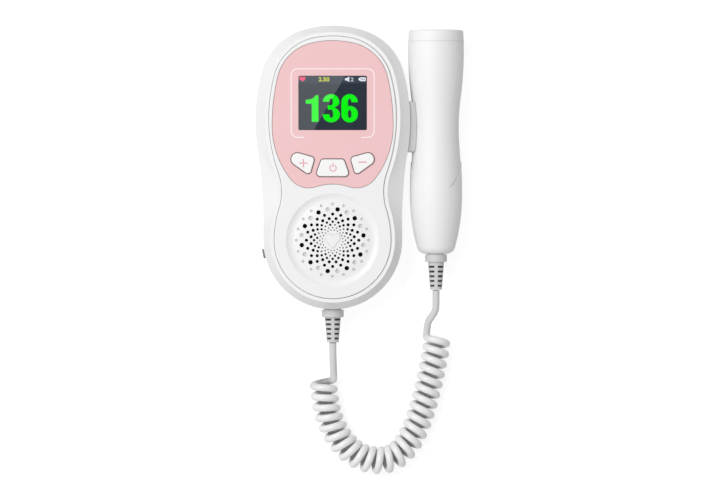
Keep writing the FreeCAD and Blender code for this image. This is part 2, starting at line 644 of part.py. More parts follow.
def front_cover():
    body = new_body("front_cover")
    form = Outline(body, "front_form", level=S.parting_level).mirrored(housing())
    pad(body, form, SIDE_LEVEL - S.parting_level)
    fillet(body, S.parting_level, S.seam_round)
    low = Outline(body, "shoulder_low", level=SIDE_LEVEL).mirrored(housing())
    high = Outline(body, "shoulder_high", level=RIM_LEVEL).mirrored(face(-S.rim_width))
    loft(body, [low, high], "AdditiveLoft")
    inner_level = SIDE_LEVEL - S.cavity_drop
    inner = Outline(body, "front_cavity", level=inner_level).mirrored(housing(S.wall))
    pocket(body, inner, inner_level - S.parting_level)
    inner_low = Outline(body, "cavity_low", level=inner_level).mirrored(housing(S.wall))
    inner_high = Outline(body, "cavity_high", level=PANEL_SEAT - S.ledge_thickness)
    inner_high.mirrored(face(S.panel_gap))
    loft(body, [inner_low, inner_high], "SubtractiveLoft")
    seat = Outline(body, "panel_seat", level=S.unit_depth).mirrored(face())
    pocket(body, seat, S.panel_thickness)
    opening = Outline(body, "face_opening", level=S.unit_depth).mirrored(face(S.ledge_width))
    pocket(body, opening, S.panel_thickness + S.ledge_thickness * 2)
    posts = circles(Outline(body, "front_posts", level=S.parting_level), CASE_POSTS, S.post_radius)
    pad(body, posts, PANEL_SEAT - S.ledge_thickness - S.parting_level)
    stands = circles(Outline(body, "board_stands", level=BOARD_FACE), BOARD_POSTS,
                     S.board_post_radius)
    pad(body, stands, PANEL_SEAT - S.ledge_thickness / 2 - BOARD_FACE)
    pilots = circles(Outline(body, "post_pilots", level=S.parting_level), CASE_POSTS,
                     S.screw_radius + S.screw_play)
    pocket(body, pilots, S.screw_length + S.screw_sink + S.screw_head - S.parting_level
           + S.pilot_spare, reverse=True)
    small = circles(Outline(body, "stand_pilots", level=BOARD_FACE), BOARD_POSTS,
                    S.small_screw_radius + S.screw_play)
    pocket(body, small, S.small_screw_length - S.board_thickness + S.pilot_spare, reverse=True)
    relief_hole(body)
    turned = FreeCAD.Rotation(UP, S.jack_turn.value).multiply(ALONG_X)
    hole = bore(body, "jack_hole", turned, S.jack_radius + S.jack_play, S.foot_radius * 2,
                0, S.foot_reach, JACK_LEVEL)
    hole.Label = "jack hole from the foot's centre outwards"
    for side in (-1, 1):
        bore(body, "peg_hole", ALONG_X, S.peg_radius + S.peg_fit, S.wall * 4,
             S.upper_half_width - S.wall * 2,
             (S.dock_low + S.dock_top) / 2 + S.peg_spread * side, S.probe_level + S.peg_rise)
    return body


def main_unit_screws():
    """Four screws that join the covers, their heads sunk deep in the back."""
    screws = []
    for number, (x, y) in enumerate(CASE_POSTS):
        body = new_body("case_screw_%d" % number, x, y, S.screw_sink)
        profile = Outline(body, "case_screw_form_%d" % number, plane="XZ")
        profile.polygon((0, 0), (S.screw_head_radius, 0), (S.screw_head_radius, S.screw_head),
                        (S.screw_radius, S.screw_head),
                        (S.screw_radius, S.screw_head + S.screw_length),
                        (0, S.screw_head + S.screw_length))
        turn(body, profile)
        screws.append(body)
    return group("case_screws", screws)


def board_screws():
    """Four screws that hold the circuit board up against the stands of the front cover."""
    screws = []
    for number, (x, y) in enumerate(BOARD_POSTS):
        body = new_body("board_screw_%d" % number, x, y, BOARD_LEVEL - S.small_head)
        profile = Outline(body, "board_screw_form_%d" % number, plane="XZ")
        top = S.small_head + S.small_screw_length
        profile.polygon((0, 0), (S.small_head_radius, 0), (S.small_head_radius, S.small_head),
                        (S.small_screw_radius, S.small_head), (S.small_screw_radius, top), (0, top))
        turn(body, profile)
        screws.append(body)
    return group("board_screws", screws)


# ---------------------------------------------------------------- face

def window(outline, grow, corner):
    """A rounded rectangle concentric with the display window."""
    half, rise = S.window_width / 2 + grow, S.window_height / 2 + grow
    return outline.rounded(-half, S.window_reach - rise, half, S.window_reach + rise, corner)


def button_cuts(body, depth):
    """Cut the three button openings down from the face."""
    for name, discs in (("plus", button_discs(-1, S.button_gap)),
                        ("power", power_discs(S.button_gap)),
                        ("minus", button_discs(1, S.button_gap))):
        cut = Outline(body, "%s_%s_cut" % (body.Name, name), level=S.unit_depth).hull(*discs)
        pocket(body, cut, depth)


def face_panel():
    body = new_body("face_panel")
    form = Outline(body, "panel_form", level=PANEL_SEAT).mirrored(face(S.panel_gap))
    pad(body, form, S.panel_thickness)
    fillet(body, S.unit_depth, S.panel_edge_radius)
    backing = Outline(body, "grille_backing", level=PANEL_SEAT)
    backing.circle(0, S.speaker_reach, S.dish_backing_radius)
    pad(body, backing, S.dish_backing, reverse=True)
    pocket(body, Outline(body, "film_bed", level=S.unit_depth).mirrored(film()), S.film_thickness)
    lens_bed = window(Outline(body, "lens_bed", level=S.unit_depth), S.lens_lap, S.lens_corner)
    pocket(body, lens_bed, S.panel_thickness)
    button_cuts(body, S.panel_thickness)
    turn(body, dish_section(Outline(body, "dish", plane="XZ", level=-S.speaker_reach)), "Groove")
    for side in (-1, 1):
        lobe = Outline(body, "heart_left" if side < 0 else "heart_right",
                       level=S.unit_depth - S.dish_depth, y=S.speaker_reach)
        lobe.hull((S.heart_lobe_x * side, S.heart_lobe_y, S.heart_lobe_radius),
                  (0, S.heart_tip_y, S.heart_tip_radius))
        pad(body, lobe, S.heart_height)
    grille_rings(body, "sound_holes", SOUND_HOLES, S.panel_thickness + S.dish_backing)
    grille_rings(body, "dimples", DIMPLES, S.dish_depth + S.dimple_depth)
    grille_rings(body, "dots", DOTS, S.dish_depth + S.dot_depth)
    return body


def dish_section(outline):
    """Half section of the grille dish: flat floor, crown, groove and the wall up to the face."""
    floor, roof = S.unit_depth - S.dish_depth, S.unit_depth + S.dish_depth
    spread = S.dish_radius - S.dish_groove_radius
    bowl_z = S.unit_depth + root(S.dish_wall_curve * S.dish_wall_curve - spread * spread)
    crown_z = floor - S.dish_crown
    gap, rise = S.dish_crown + S.dish_wall_curve, bowl_z - crown_z
    crown_x = S.dish_groove_radius - root(gap * gap - rise * rise)
    lean = math.atan2(rise.value, (S.dish_groove_radius - crown_x).value)
    rim_angle = math.atan2((S.unit_depth - bowl_z).value, spread.value)
    crown = outline.add(Part.ArcOfCircle(Part.Circle(point(crown_x, crown_z), UP, S.dish_crown.value),
                                         lean, math.pi / 2))
    bowl = outline.add(Part.ArcOfCircle(Part.Circle(point(S.dish_groove_radius, bowl_z), UP,
                                                    S.dish_wall_curve.value),
                                        lean - math.pi, rim_angle))
    corners = [(S.dish_radius, S.unit_depth), (S.dish_radius, roof), (0, roof), (0, floor),
               (crown_x, floor)]
    wall, lid, axis, bed = [outline.add(Part.LineSegment(point(*start), point(*end)))
                            for start, end in zip(corners, corners[1:])]
    outline.rule("Tangent", bed, 2, crown, 2)
    outline.rule("Tangent", crown, 1, bowl, 1)
    outline.rule("Coincident", bowl, 2, wall, 1)
    outline.rule("Coincident", wall, 2, lid, 1)
    outline.rule("Coincident", lid, 2, axis, 1)
    outline.rule("Coincident", axis, 2, bed, 1)
    outline.rule("Vertical", wall)
    outline.rule("Horizontal", lid)
    outline.rule("Horizontal", bed)
    outline.pin(axis, 1, 0, roof)
    outline.pin(axis, 2, 0, floor)
    outline.measure("DistanceX", S.dish_radius, -1, 1, wall, 2)
    outline.measure("Radius", S.dish_wall_curve, bowl)
    outline.pin(bowl, 3, S.dish_groove_radius, bowl_z)
    outline.measure("DistanceY", crown_z, -1, 1, crown, 3)
    return outline


def grille_rings(body, name, rings, depth):
    """Round holes cut down from the face, the same in every sector of the grille."""
    outline = Outline(body, name, level=S.unit_depth, y=S.speaker_reach)
    for letter, angle in rings:
        ring, hole = getattr(S, "ring_%s_radius" % letter), getattr(S, "ring_%s_hole" % letter)
        x = Size(ring.value * math.cos(math.radians(angle)), "(%s * cos(%s deg))" % (ring.text, angle))
        y = Size(ring.value * math.sin(math.radians(angle)), "(%s * sin(%s deg))" % (ring.text, angle))
        outline.circle(x, y if angle else 0, hole)
    cut = pocket(body, outline, depth)
    pattern = body.newObject("PartDesign::PolarPattern", name + "_pattern")
    pattern.Originals = [cut]
    pattern.Axis = (outline.sketch, ["N_Axis"])
    pattern.Angle = 360
    pattern.Occurrences = GRILLE_SECTORS
    body.Tip = pattern


def face_film():
    body = new_body("face_film")
    form = Outline(body, "film_form", level=S.unit_depth - S.film_thickness)
    pad(body, form.mirrored(film(S.film_fit)), S.film_thickness)
    opening = window(Outline(body, "film_window", level=S.unit_depth), sized(0), S.window_corner)
    pocket(body, opening, S.film_thickness)
    button_cuts(body, S.film_thickness)
    return body


def display_lens():
    body = new_body("display_lens")
    top = S.unit_depth - S.film_thickness
    form = window(Outline(body, "lens_form", level=top - S.lens_thickness),
                  S.lens_lap - S.lens_fit, S.lens_corner - S.lens_fit)
    pad(body, form, S.lens_thickness)
    return body


GLASS_TOP = S.unit_depth - S.film_thickness - S.lens_thickness - S.glass_gap


def display_glass():
    body = new_body("display_glass")
    form = window(Outline(body, "glass_form", level=GLASS_TOP), S.glass_lap, S.window_corner)
    pad(body, form, S.glass_thickness, reverse=True)
    return body


def display_tray():
    """Shallow frame that holds the display glass, with four legs on the circuit board."""
    body = new_body("display_tray")
    bottom = GLASS_TOP - S.glass_thickness - S.glass_fit - S.tray_floor
    outer = S.glass_lap + S.glass_fit + S.tray_wall
    form = window(Outline(body, "tray_form", level=bottom), outer, S.tray_wall)
    pad(body, form, GLASS_TOP - S.glass_gap - bottom)
    bed = window(Outline(body, "tray_bed", level=GLASS_TOP), S.glass_lap + S.glass_fit,
                 S.window_corner)
    pocket(body, bed, S.glass_thickness + S.glass_fit)
    half = S.window_width / 2 + outer - S.tray_leg_radius
    rise = S.window_height / 2 + outer - S.tray_leg_radius
    spots = [(half, S.window_reach + rise), (-half, S.window_reach + rise),
             (half, S.window_reach - rise), (-half, S.window_reach - rise)]
    legs = circles(Outline(body, "tray_legs", level=BOARD_FACE), spots, S.tray_leg_radius)
    pad(body, legs, bottom + S.tray_floor - BOARD_FACE)
    return body


def push_button(label, discs, stem_x, stem_y):
    """A button cap with a flange under the panel and a stem above its switch."""
    body = new_body(label)
    flange_top = PANEL_SEAT - S.flange_play
    flange = Outline(body, label + "_flange", level=flange_top).hull(*discs(S.flange_lip))
    pad(body, flange, S.flange_thickness, reverse=True)
    cap = Outline(body, label + "_cap", level=flange_top).hull(*discs(0))
    top = S.unit_depth + S.button_proud
    pad(body, cap, top - flange_top)
    fillet(body, top, S.button_edge)
    stem_low = BOARD_FACE + S.switch_height + S.plunger_height + S.button_travel + S.stem_gap
    stem_top = flange_top - S.flange_thickness
    stem = Outline(body, label + "_stem", level=stem_top).circle(stem_x, stem_y, S.stem_radius)
    pad(body, stem, stem_top - stem_low, reverse=True)
    return body


STEM_X = (S.outer_button_x + S.inner_button_x) / 2
STEM_Y = (S.outer_button_y + S.low_button_y) / 2 + S.stem_shift


def tact_switches():
    """Three tactile switches on the board, one under each button."""
    switches = []
    half = S.switch_side / 2
    for number, (x, y) in enumerate(((-STEM_X, STEM_Y), (0, 0), (STEM_X, STEM_Y))):
        body = new_body("tact_switch_%d" % number, x, y, BOARD_FACE)
        case = Outline(body, "switch_case_%d" % number).rectangle(-half, -half, half, half)
        pad(body, case, S.switch_height)
        plunger = Outline(body, "switch_plunger_%d" % number).circle(0, 0, S.plunger_radius)
        pad(body, plunger, S.switch_height + S.plunger_height)
        switches.append(body)
    return group("tact_switches", switches)


# ---------------------------------------------------------------- inside of the main unit

def main_board():
    body = new_body("main_board")
    form = Outline(body, "board_form", level=BOARD_LEVEL)
    form.rounded(-S.board_half_width, S.board_low, S.board_half_width, S.board_top, S.board_corner)
    pad(body, form, S.board_thickness)
    arm = Outline(body, "board_arm", level=BOARD_LEVEL)
    arm.rounded(-S.board_half_width, S.arm_low, -S.arm_inner,
                S.board_low + S.board_corner + S.arm_corner, S.arm_corner)
    pad(body, arm, S.board_thickness)
    holes = circles(Outline(body, "board_holes", level=BOARD_LEVEL + S.board_thickness),
                    BOARD_POSTS, S.small_screw_radius + S.board_hole_play)
    pocket(body, holes, S.board_thickness)
    return body


def earphone_jack():
    """Socket for a 3.5 mm plug; its nose looks out through the side wall at the foot."""
    body = new_body("earphone_jack", 0, S.foot_reach, JACK_LEVEL)
    body.Placement.Rotation = FreeCAD.Rotation(UP, S.jack_turn.value)
    bind(body, Placement__Rotation__Angle=S.jack_turn)
    front = S.foot_radius - S.wall - S.jack_setback
    shell = Outline(body, "jack_shell")
    shell.rectangle(front - S.jack_depth, -S.jack_width / 2, front, S.jack_width / 2)
    pad(body, shell, S.jack_height, middle=True)
    nose = Outline(body, "jack_nose", plane="YZ", level=front).circle(0, 0, S.jack_radius)
    pad(body, nose, S.foot_radius + S.jack_proud - front)
    plug_way = Outline(body, "jack_bore", plane="YZ", level=S.foot_radius + S.jack_proud)
    plug_way.circle(0, 0, S.jack_bore_radius)
    pocket(body, plug_way, S.foot_radius + S.jack_proud - front + S.jack_depth - S.jack_floor)
    return body


def speaker_frame():
    """Pressed basket of the loudspeaker: rim, conical wall and neck ring."""
    body = new_body("speaker_frame", 0, S.speaker_reach, 0)
    top, under = SPEAKER_FLANGE_TOP, SPEAKER_FLANGE_TOP - S.speaker_flange
    neck = under - S.speaker_neck_drop
    profile = Outline(body, "basket", plane="XZ")
    profile.polygon((S.dome_radius, neck - S.speaker_sheet),
                    (S.speaker_neck_radius, neck - S.speaker_sheet),
                    (S.speaker_opening + S.speaker_sheet, under), (S.speaker_radius, under),
                    (S.speaker_radius, top), (S.speaker_opening, top),
                    (S.speaker_neck_radius - S.speaker_sheet, neck), (S.dome_radius, neck))
    turn(body, profile)
    return body


def speaker_cone():
    """Paper cone with its surround and dust cap."""
    body = new_body("speaker_cone", 0, S.speaker_reach, 0)
    top = SPEAKER_FLANGE_TOP
    low = top - S.speaker_flange - S.speaker_neck_drop + S.speaker_sheet
    edge = S.speaker_opening - S.cone_gap
    profile = Outline(body, "cone_form", plane="XZ")
    profile.polygon((0, low), (S.dome_radius, low), (edge, top - S.cone_sheet), (edge, top),
                    (S.dome_radius, low + S.cone_sheet * 2), (0, low + S.cone_sheet * 4))
    turn(body, profile)
    return body


def speaker_magnet():
    body = new_body("speaker_magnet", 0, S.speaker_reach, MAGNET_LEVEL)
    form = Outline(body, "magnet_form").circle(0, 0, S.magnet_radius)
    pad(body, form, S.magnet_height)
    return body


def speaker_gasket():
    body = new_body("speaker_gasket", 0, S.speaker_reach, SPEAKER_FLANGE_TOP)
    form = Outline(body, "gasket_form").circle(0, 0, S.speaker_radius)
    form.circle(0, 0, S.speaker_radius - S.gasket_width)
    pad(body, form, S.gasket_thickness)
    return body


# ---------------------------------------------------------------- batteries

def battery_door():
    """Flush cover of the battery bay; it swings on two pivot pins in its rounded upper edge."""
    body = new_body("battery_door")
    half = S.bay_half_width + S.door_lip - S.door_gap
    low = S.bay_low - S.door_lip + S.door_gap
    form = Outline(body, "door_form").rectangle(-half, low, half, HINGE_REACH)
    pad(body, form, S.door_thickness)
    edge = Outline(body, "door_edge", plane="YZ")
    edge.circle(HINGE_REACH, S.door_thickness / 2, S.door_thickness / 2)
    pad(body, edge, half * 2, middle=True)
    pins = Outline(body, "door_pins", plane="YZ")
    pins.circle(HINGE_REACH, S.door_thickness / 2, S.pivot_radius)
    pad(body, pins, (half + S.pivot_length) * 2, middle=True)
    grip = Outline(body, "door_grip").circle(0, low + S.grip_inset, S.grip_radius)
    pocket(body, grip, S.grip_depth, reverse=True)
    return body


def battery_cells():
    """Two AA cells side by side, laid opposite ways."""
    cells = []
    level = S.cell_floor + S.cell_radius
    for side in (-1, 1):
        body = new_body("cell_up" if side > 0 else "cell_down", S.cell_pitch / 2 * side,
                        (S.bay_low + S.bay_top) / 2, level)
        start, end = S.cell_length / -2, S.cell_length / 2
        nub = (end + S.cell_nub_length) if side > 0 else (start - S.cell_nub_length)
        near, far = (start, end) if side > 0 else (end, start)
        profile = Outline(body, body.Name + "_form")
        profile.polygon((0, near), (S.cell_radius, near), (S.cell_radius, far),
                        (S.cell_nub_radius, far), (S.cell_nub_radius, nub), (0, nub))
        turn(body, profile)
        cells.append(body)
    return group("battery_cells", cells)


def battery_contacts():
    """Bent sheet contacts at both ends of the bay, two at each end."""
    contacts = []
    gap = (S.bay_top - S.bay_low - S.cell_length) / 2 - S.cell_nub_length
    for end in (-1, 1):
        wall_y = S.bay_top if end > 0 else S.bay_low
        for side in (-1, 1):
            label = "contact_%s_%s" % ("up" if end > 0 else "low", "right" if side > 0 else "left")
            body = new_body(label, S.cell_pitch / 2 * side, wall_y, S.cell_floor + S.cell_radius)
            half = S.contact_side / 2
            leaf = Outline(body, body.Name + "_leaf", plane="YZ")
            plate, tip = S.contact_sheet * -end, (gap - S.contact_play) * -end
            inner_tip = tip + S.contact_sheet * end
            leaf.polygon((0, -half), (plate, -half), (plate, -S.contact_rise), (tip, 0),
                         (plate, S.contact_rise), (plate, half), (0, half), (0, S.contact_rise),
                         (inner_tip, 0), (0, -S.contact_rise))
            pad(body, leaf, S.contact_width, middle=True)
            contacts.append(body)
    return group("battery_contacts", contacts)


# ---------------------------------------------------------------- strain reliefs and cord

def strain_relief(label, x, y, z, grip, plain):
    """Moulded strain relief that hangs in a wall at y; its slotted tail points to -Y.

    Plain is the extra stretch of its tail before the first slot.
    """
    body = new_body(label, x, y, z)
    inner = grip + S.relief_sag
    collar_end = -S.relief_gap - S.relief_collar
    tail_end = collar_end - S.relief_length - plain
    core = [(0, inner + S.relief_flange), (0, tail_end)]
    edge = [(S.relief_tip_radius, tail_end)]
    taper = (S.relief_root_radius - S.relief_tip_radius) / (S.relief_length + plain)
    for slot in range(SLOTS_PER_RELIEF - 1, -1, -1):
        slot_top = collar_end - S.relief_first_slot - plain - S.relief_pitch * slot
        slot_end = slot_top - S.relief_slot
        edge += [(S.relief_tip_radius + taper * (slot_end - tail_end), slot_end),
                 (S.relief_core_radius, slot_end), (S.relief_core_radius, slot_top),
                 (S.relief_tip_radius + taper * (slot_top - tail_end), slot_top)]
    edge += [(S.relief_root_radius, collar_end), (S.relief_collar_radius, collar_end),
             (S.relief_collar_radius, -S.relief_gap), (S.relief_neck_radius, -S.relief_gap),
             (S.relief_neck_radius, inner), (S.relief_flange_radius, inner),
             (S.relief_flange_radius, inner + S.relief_flange)]
    turn(body, Outline(body, label + "_turned").polygon(*(core + edge)))
    spine = Outline(body, label + "_spine", plane="YZ")
    spine.polygon((collar_end, -S.relief_root_radius), (collar_end, S.relief_root_radius),
                  (tail_end, S.relief_tip_radius), (tail_end, -S.relief_tip_radius))
    pad(body, spine, S.relief_spine, middle=True)
    web = Outline(body, label + "_web")
    web.polygon((-S.relief_root_radius, collar_end), (S.relief_root_radius, collar_end),
                (S.relief_tip_radius, tail_end), (-S.relief_tip_radius, tail_end))
    pad(body, web, S.relief_web, middle=True)
    return body


def round_route(corners):
    """A wire of straight runs through the corners, each corner rounded by a tangent arc."""
    spots = [FreeCAD.Vector(*corner) for corner in corners]
    edges, radii = [], []
    start = spots[0]
    for before, corner, after in zip(spots, spots[1:], spots[2:]):
        back, ahead = before - corner, after - corner
        shorter = min(back.Length, ahead.Length)
        half_turn = (math.pi - back.getAngle(ahead)) / 2
        radius = 0.45 * shorter / math.tan(half_turn)
        radii.append(radius)
        first = corner + back * (0.45 * shorter / back.Length)
        last = corner + ahead * (0.45 * shorter / ahead.Length)
        bisector = (back.normalize() + ahead.normalize()).normalize()
        middle = corner + bisector * (radius / math.cos(half_turn) - radius)
        edges.append(Part.LineSegment(start, first).toShape())
        edges.append(Part.Arc(first, middle, last).toShape())
        start = last
    edges.append(Part.LineSegment(start, spots[-1]).toShape())
    return Part.Wire(edges), radii


def cord_tube(label, corners, radius):
    """A plain round tube along one stretch of the cord."""
    wire, radii = round_route(corners)
    first = wire.Edges[0]
    start, heading = first.valueAt(first.FirstParameter), first.tangentAt(first.FirstParameter)
    section = Part.Wire(Part.Circle(start, heading, radius.value).toShape())
    tube = doc.addObject("Part::Feature", label)
    tube.Label = label
    tube.Shape = wire.makePipeShell([section], True, True)
    expected = math.pi * radius.value ** 2 * wire.Length
    print("%s: length %.1f, radii %s, volume ratio %.4f" % (
        label, wire.Length, " ".join("%.0f" % value for value in radii), tube.Shape.Volume / expected))
    return tube


# ---------------------------------------------------------------- probe

def probe_profile(outline, wall, top):
    """Half section of the probe's turned form, pulled in by a wall, up to a height.

    X is the radius and Y the place along the axis.
    """
    head_curve, low_curve = S.head_curve - wall, S.grip_low_curve - wall
    head = (S.head_radius - S.head_curve, S.head_reach)
    spread = S.head_reach - S.probe_waist_reach
    narrow = S.head_radius - S.probe_waist_radius
    waist_curve = (spread * spread + narrow * narrow) / (narrow * 2) - S.head_curve
    waist = (S.probe_waist_radius + waist_curve, S.probe_waist_reach)
    fall = S.probe_waist_reach - S.grip_reach
    swell = S.grip_half - S.probe_waist_radius
    grip_curve = (fall * fall + swell * swell) / (swell * 2) - waist_curve
    grip = (S.grip_half - grip_curve, S.grip_reach)
    low = (S.grip_half - S.grip_low_curve, S.grip_reach)
    corner_y = S.probe_end + S.probe_end_radius
    drop = S.grip_reach - corner_y
    inward = S.grip_low_curve - S.probe_end_radius
    corner = (low[0] + root(inward * inward - drop * drop), corner_y)
    top_radius = head[0] + root(head_curve * head_curve - (top - head[1]) * (top - head[1]))
    end_y = S.probe_end + wall

    def between(first, second, share):
        return (first[0] + (second[0] - first[0]) * share, first[1] + (second[1] - first[1]) * share)

    to_waist = between(head, waist, head_curve / (S.head_curve + waist_curve))
    to_grip = between(waist, grip, (waist_curve + wall) / (waist_curve + grip_curve))
    to_low = (S.grip_half - wall, S.grip_reach)
    to_corner = between(low, corner, low_curve / inward)
    to_end = (corner[0], end_y)
    arcs = [(head, (top_radius, top), to_waist, False), (waist, to_waist, to_grip, True),
            (grip, to_grip, to_low, False), (low, to_low, to_corner, False),
            (corner, to_corner, to_end, False)]
    items = []
    for centre, start, end, hollow in arcs:
        first, last = (start, end) if hollow else (end, start)
        a = math.atan2((first[1] - centre[1]).value, (first[0] - centre[0]).value)
        b = math.atan2((last[1] - centre[1]).value, (last[0] - centre[0]).value)
        if b < a:
            b += 2 * math.pi
        radius = math.dist(point(*centre), point(*start))
        items.append(outline.add(Part.ArcOfCircle(Part.Circle(point(*centre), UP, radius), a, b)))
    ends = [(2, 1) if not hollow else (1, 2) for _, _, _, hollow in arcs]
    floor = outline.add(Part.LineSegment(point(*to_end), point(0, end_y)))
    axis = outline.add(Part.LineSegment(point(0, end_y), point(0, top)))
    lid = outline.add(Part.LineSegment(point(0, top), point(top_radius, top)))
    for n in range(len(items) - 1):
        outline.rule("Tangent", items[n], ends[n][1], items[n + 1], ends[n + 1][0])
    outline.rule("Coincident", items[-1], ends[-1][1], floor, 1)
    outline.rule("Coincident", floor, 2, axis, 1)
    outline.rule("Coincident", axis, 2, lid, 1)
    outline.rule("Coincident", lid, 2, items[0], ends[0][0])
    for item, (centre, _, _, _) in zip(items, arcs):
        outline.pin(item, 3, *centre)
    outline.measure("Radius", head_curve, items[0])
    outline.measure("DistanceX", corner[0], -1, 1, floor, 1)
    outline.rule("Horizontal", floor)
    outline.rule("Horizontal", lid)
    outline.rule("PointOnObject", axis, 1, -2)
    outline.pin(axis, 2, 0, top)
    return outline


def solid_of(label, wall, top):
    body = new_body(label)
    turn(body, probe_profile(Outline(body, label + "_profile"), wall, top))
    return body


def probe_shells():
    """Front and back half shells of the probe, with a raised grip below an oblique step."""
    core = solid_of("probe_core", sized(0), S.cap_seam - S.cap_gap)
    swell = doc.addObject("Part::Scale", "grip_swell")
    swell.Base = core
    swell.Uniform = False
    bind(swell, XScale=(S.grip_half + S.grip_step) / S.grip_half, YScale=1,
         ZScale=(S.grip_half - S.grip_step_fade) / S.grip_half)
    wedge = new_body("grip_wedge")
    span = S.head_radius * 2
    fall = span * S.grip_line_drop / S.grip_half
    arrow = Outline(wedge, "grip_arrow", plane="YZ")
    arrow.polygon((S.grip_line_reach, 0), (S.grip_line_reach - fall, span),
                  (S.probe_end - span, span), (S.probe_end - span, -span),
                  (S.grip_line_reach - fall, -span))
    pad(wedge, arrow, span * 2, middle=True)
    raised = doc.addObject("Part::Common", "raised_grip")
    raised.Base, raised.Tool = swell, wedge
    form = doc.addObject("Part::Fuse", "probe_form")
    form.Base, form.Tool = core, raised
    marked = doc.addObject("Part::Cut", "grooved_form")
    marked.Base, marked.Tool = form, grip_groove(core, span, fall)
    hollow = solid_of("probe_hollow", S.probe_wall, S.cap_seam - S.cap_gap)
    walls = doc.addObject("Part::Cut", "probe_walls")
    walls.Base, walls.Tool = marked, hollow
    shells = []
    for label, facing in (("probe_front_shell", 1), ("probe_back_shell", -1)):
        shells.append(probe_half(label, facing, walls, form, span))
    return shells


def grip_groove(core, span, fall):
    """Fine groove along the oblique step of the grip; it runs out towards the front and back."""
    bed = doc.addObject("Part::Scale", "groove_bed")
    bed.Base = core
    bed.Uniform = False
    bind(bed, XScale=(S.grip_half - S.grip_groove_depth) / S.grip_half, YScale=1,
         ZScale=(S.grip_half + S.grip_groove_fade) / S.grip_half)
    band = new_body("grip_band")
    low, high = S.grip_line_reach, S.grip_line_reach + S.grip_groove
    chevron = Outline(band, "grip_chevron", plane="YZ")
    chevron.polygon((high, 0), (high - fall, span), (low - fall, span), (low, 0),
                    (low - fall, -span), (high - fall, -span))
    pad(band, chevron, span * 2, middle=True)
    groove = doc.addObject("Part::Cut", "grip_groove")
    groove.Base, groove.Tool = band, bed
    return groove


def probe_half(label, facing, walls, form, span):
    """One half shell: the half wall, two screw posts and the holes in them."""
    half_space = new_body(label + "_side")
    block = Outline(half_space, label + "_block")
    block.rectangle(-span, S.probe_end - span, span, S.probe_top)
    pad(half_space, block, span, reverse=facing < 0)
    half = doc.addObject("Part::Common", label + "_half")
    half.Base, half.Tool = walls, half_space
    posts = new_body(label + "_posts")
    spots = [(0, S.probe_screw_upper), (0, S.probe_screw_lower)]
    ring = circles(Outline(posts, label + "_post_rings"), spots, S.probe_post_radius)
    pad(posts, ring, S.head_radius, reverse=facing < 0)
    trimmed = doc.addObject("Part::Common", label + "_trimmed_posts")
    trimmed.Base, trimmed.Tool = posts, form
    joined = doc.addObject("Part::Fuse", label + "_joined")
    joined.Base, joined.Tool = half, trimmed
    drill = new_body(label + "_drill")
    holes = circles(Outline(drill, label + "_holes"), spots, S.small_screw_radius + S.screw_play)
    if facing > 0:
        pad(drill, holes, PROBE_SCREW_TIP + S.pilot_spare)
    else:
        pad(drill, holes, span, reverse=True)
        sink = circles(Outline(drill, label + "_sinks", level=PROBE_HEAD_TOP), spots,
                       S.small_head_radius + S.sink_play)
        pad(drill, sink, span, reverse=True)
    relief = Outline(drill, label + "_relief", plane="XZ", level=-S.probe_end - S.probe_wall * 3)
    relief.circle(0, 0, S.relief_neck_radius + S.relief_fit)
    pad(drill, relief, S.probe_wall * 6)
    shell = doc.addObject("Part::Cut", label)
    shell.Base, shell.Tool = joined, drill
    shell.Label = label
    return place(shell, S.probe_x, 0, S.probe_level)


PROBE_HEAD_TOP = S.probe_screw_sink - S.probe_waist_radius
PROBE_SCREW_TIP = PROBE_HEAD_TOP + S.probe_screw_length


def probe_cap():
    """Flat acoustic face of the probe with a spigot that plugs into the shells."""
    body = new_body("probe_cap", S.probe_x, 0, S.probe_level)
    seam_radius = S.head_radius - S.cap_gap / 2
    inner = S.spigot_radius - S.probe_wall / 2
    low, lid = S.cap_seam - S.spigot_length, S.probe_top - S.cap_sheet
    profile = Outline(body, "cap_profile")
    profile.polygon((0, lid), (inner, lid), (inner, low), (S.spigot_radius, low),
                    (S.spigot_radius, S.cap_seam), (seam_radius, S.cap_seam),
                    (seam_radius - S.cap_taper, S.probe_top), (0, S.probe_top))
    turn(body, profile)
    fillet(body, S.probe_top, S.cap_edge_radius, "Y")
    return body


def probe_gasket():
    """Thin ring pinched between the cap and the shells."""
    body = new_body("probe_gasket", S.probe_x, 0, S.probe_level)
    outer = S.head_radius - S.seal_inset
    low = S.cap_seam - S.cap_gap
    profile = Outline(body, "gasket_profile")
    profile.rectangle(S.spigot_radius + S.seal_play, low, outer, S.cap_seam)
    turn(body, profile)
    return body


def crystals():
    """Two half-round piezo crystals under the cap, one sends and one listens."""
    halves = []
    top = S.probe_top - S.cap_sheet - S.crystal_gap
    for side in (-1, 1):
        body = new_body("crystal_left" if side < 0 else "crystal_right", S.probe_x, 0, S.probe_level)
        disc = Outline(body, body.Name + "_disc", plane="XZ", level=-top)
        disc.circle(0, 0, S.crystal_radius)
        pad(body, disc, S.crystal_thickness)
        cut = Outline(body, body.Name + "_cut", plane="XZ", level=-top)
        far, near = S.crystal_radius * -1.5 * side, S.crystal_slot / 2 * side
        reach_z = S.crystal_radius * 1.5
        cut.rectangle(far, -reach_z, near, reach_z)
        pocket(body, cut, S.crystal_thickness, reverse=True)
        halves.append(body)
    return group("crystals", halves)


def probe_board():
    body = new_body("probe_board", S.probe_x, 0, S.probe_level)
    half = S.probe_board_half_width
    form = Outline(body, "probe_board_form")
    form.rounded(-half, S.probe_board_low, half, S.probe_board_top, S.probe_board_corner)
    pad(body, form, S.probe_board_thickness, middle=True)
    spots = [(0, S.probe_screw_upper), (0, S.probe_screw_lower)]
    holes = circles(Outline(body, "probe_board_holes"), spots,
                    S.probe_post_radius + S.probe_board_play)
    pocket(body, holes, S.probe_board_thickness * 2, middle=True)
    return body


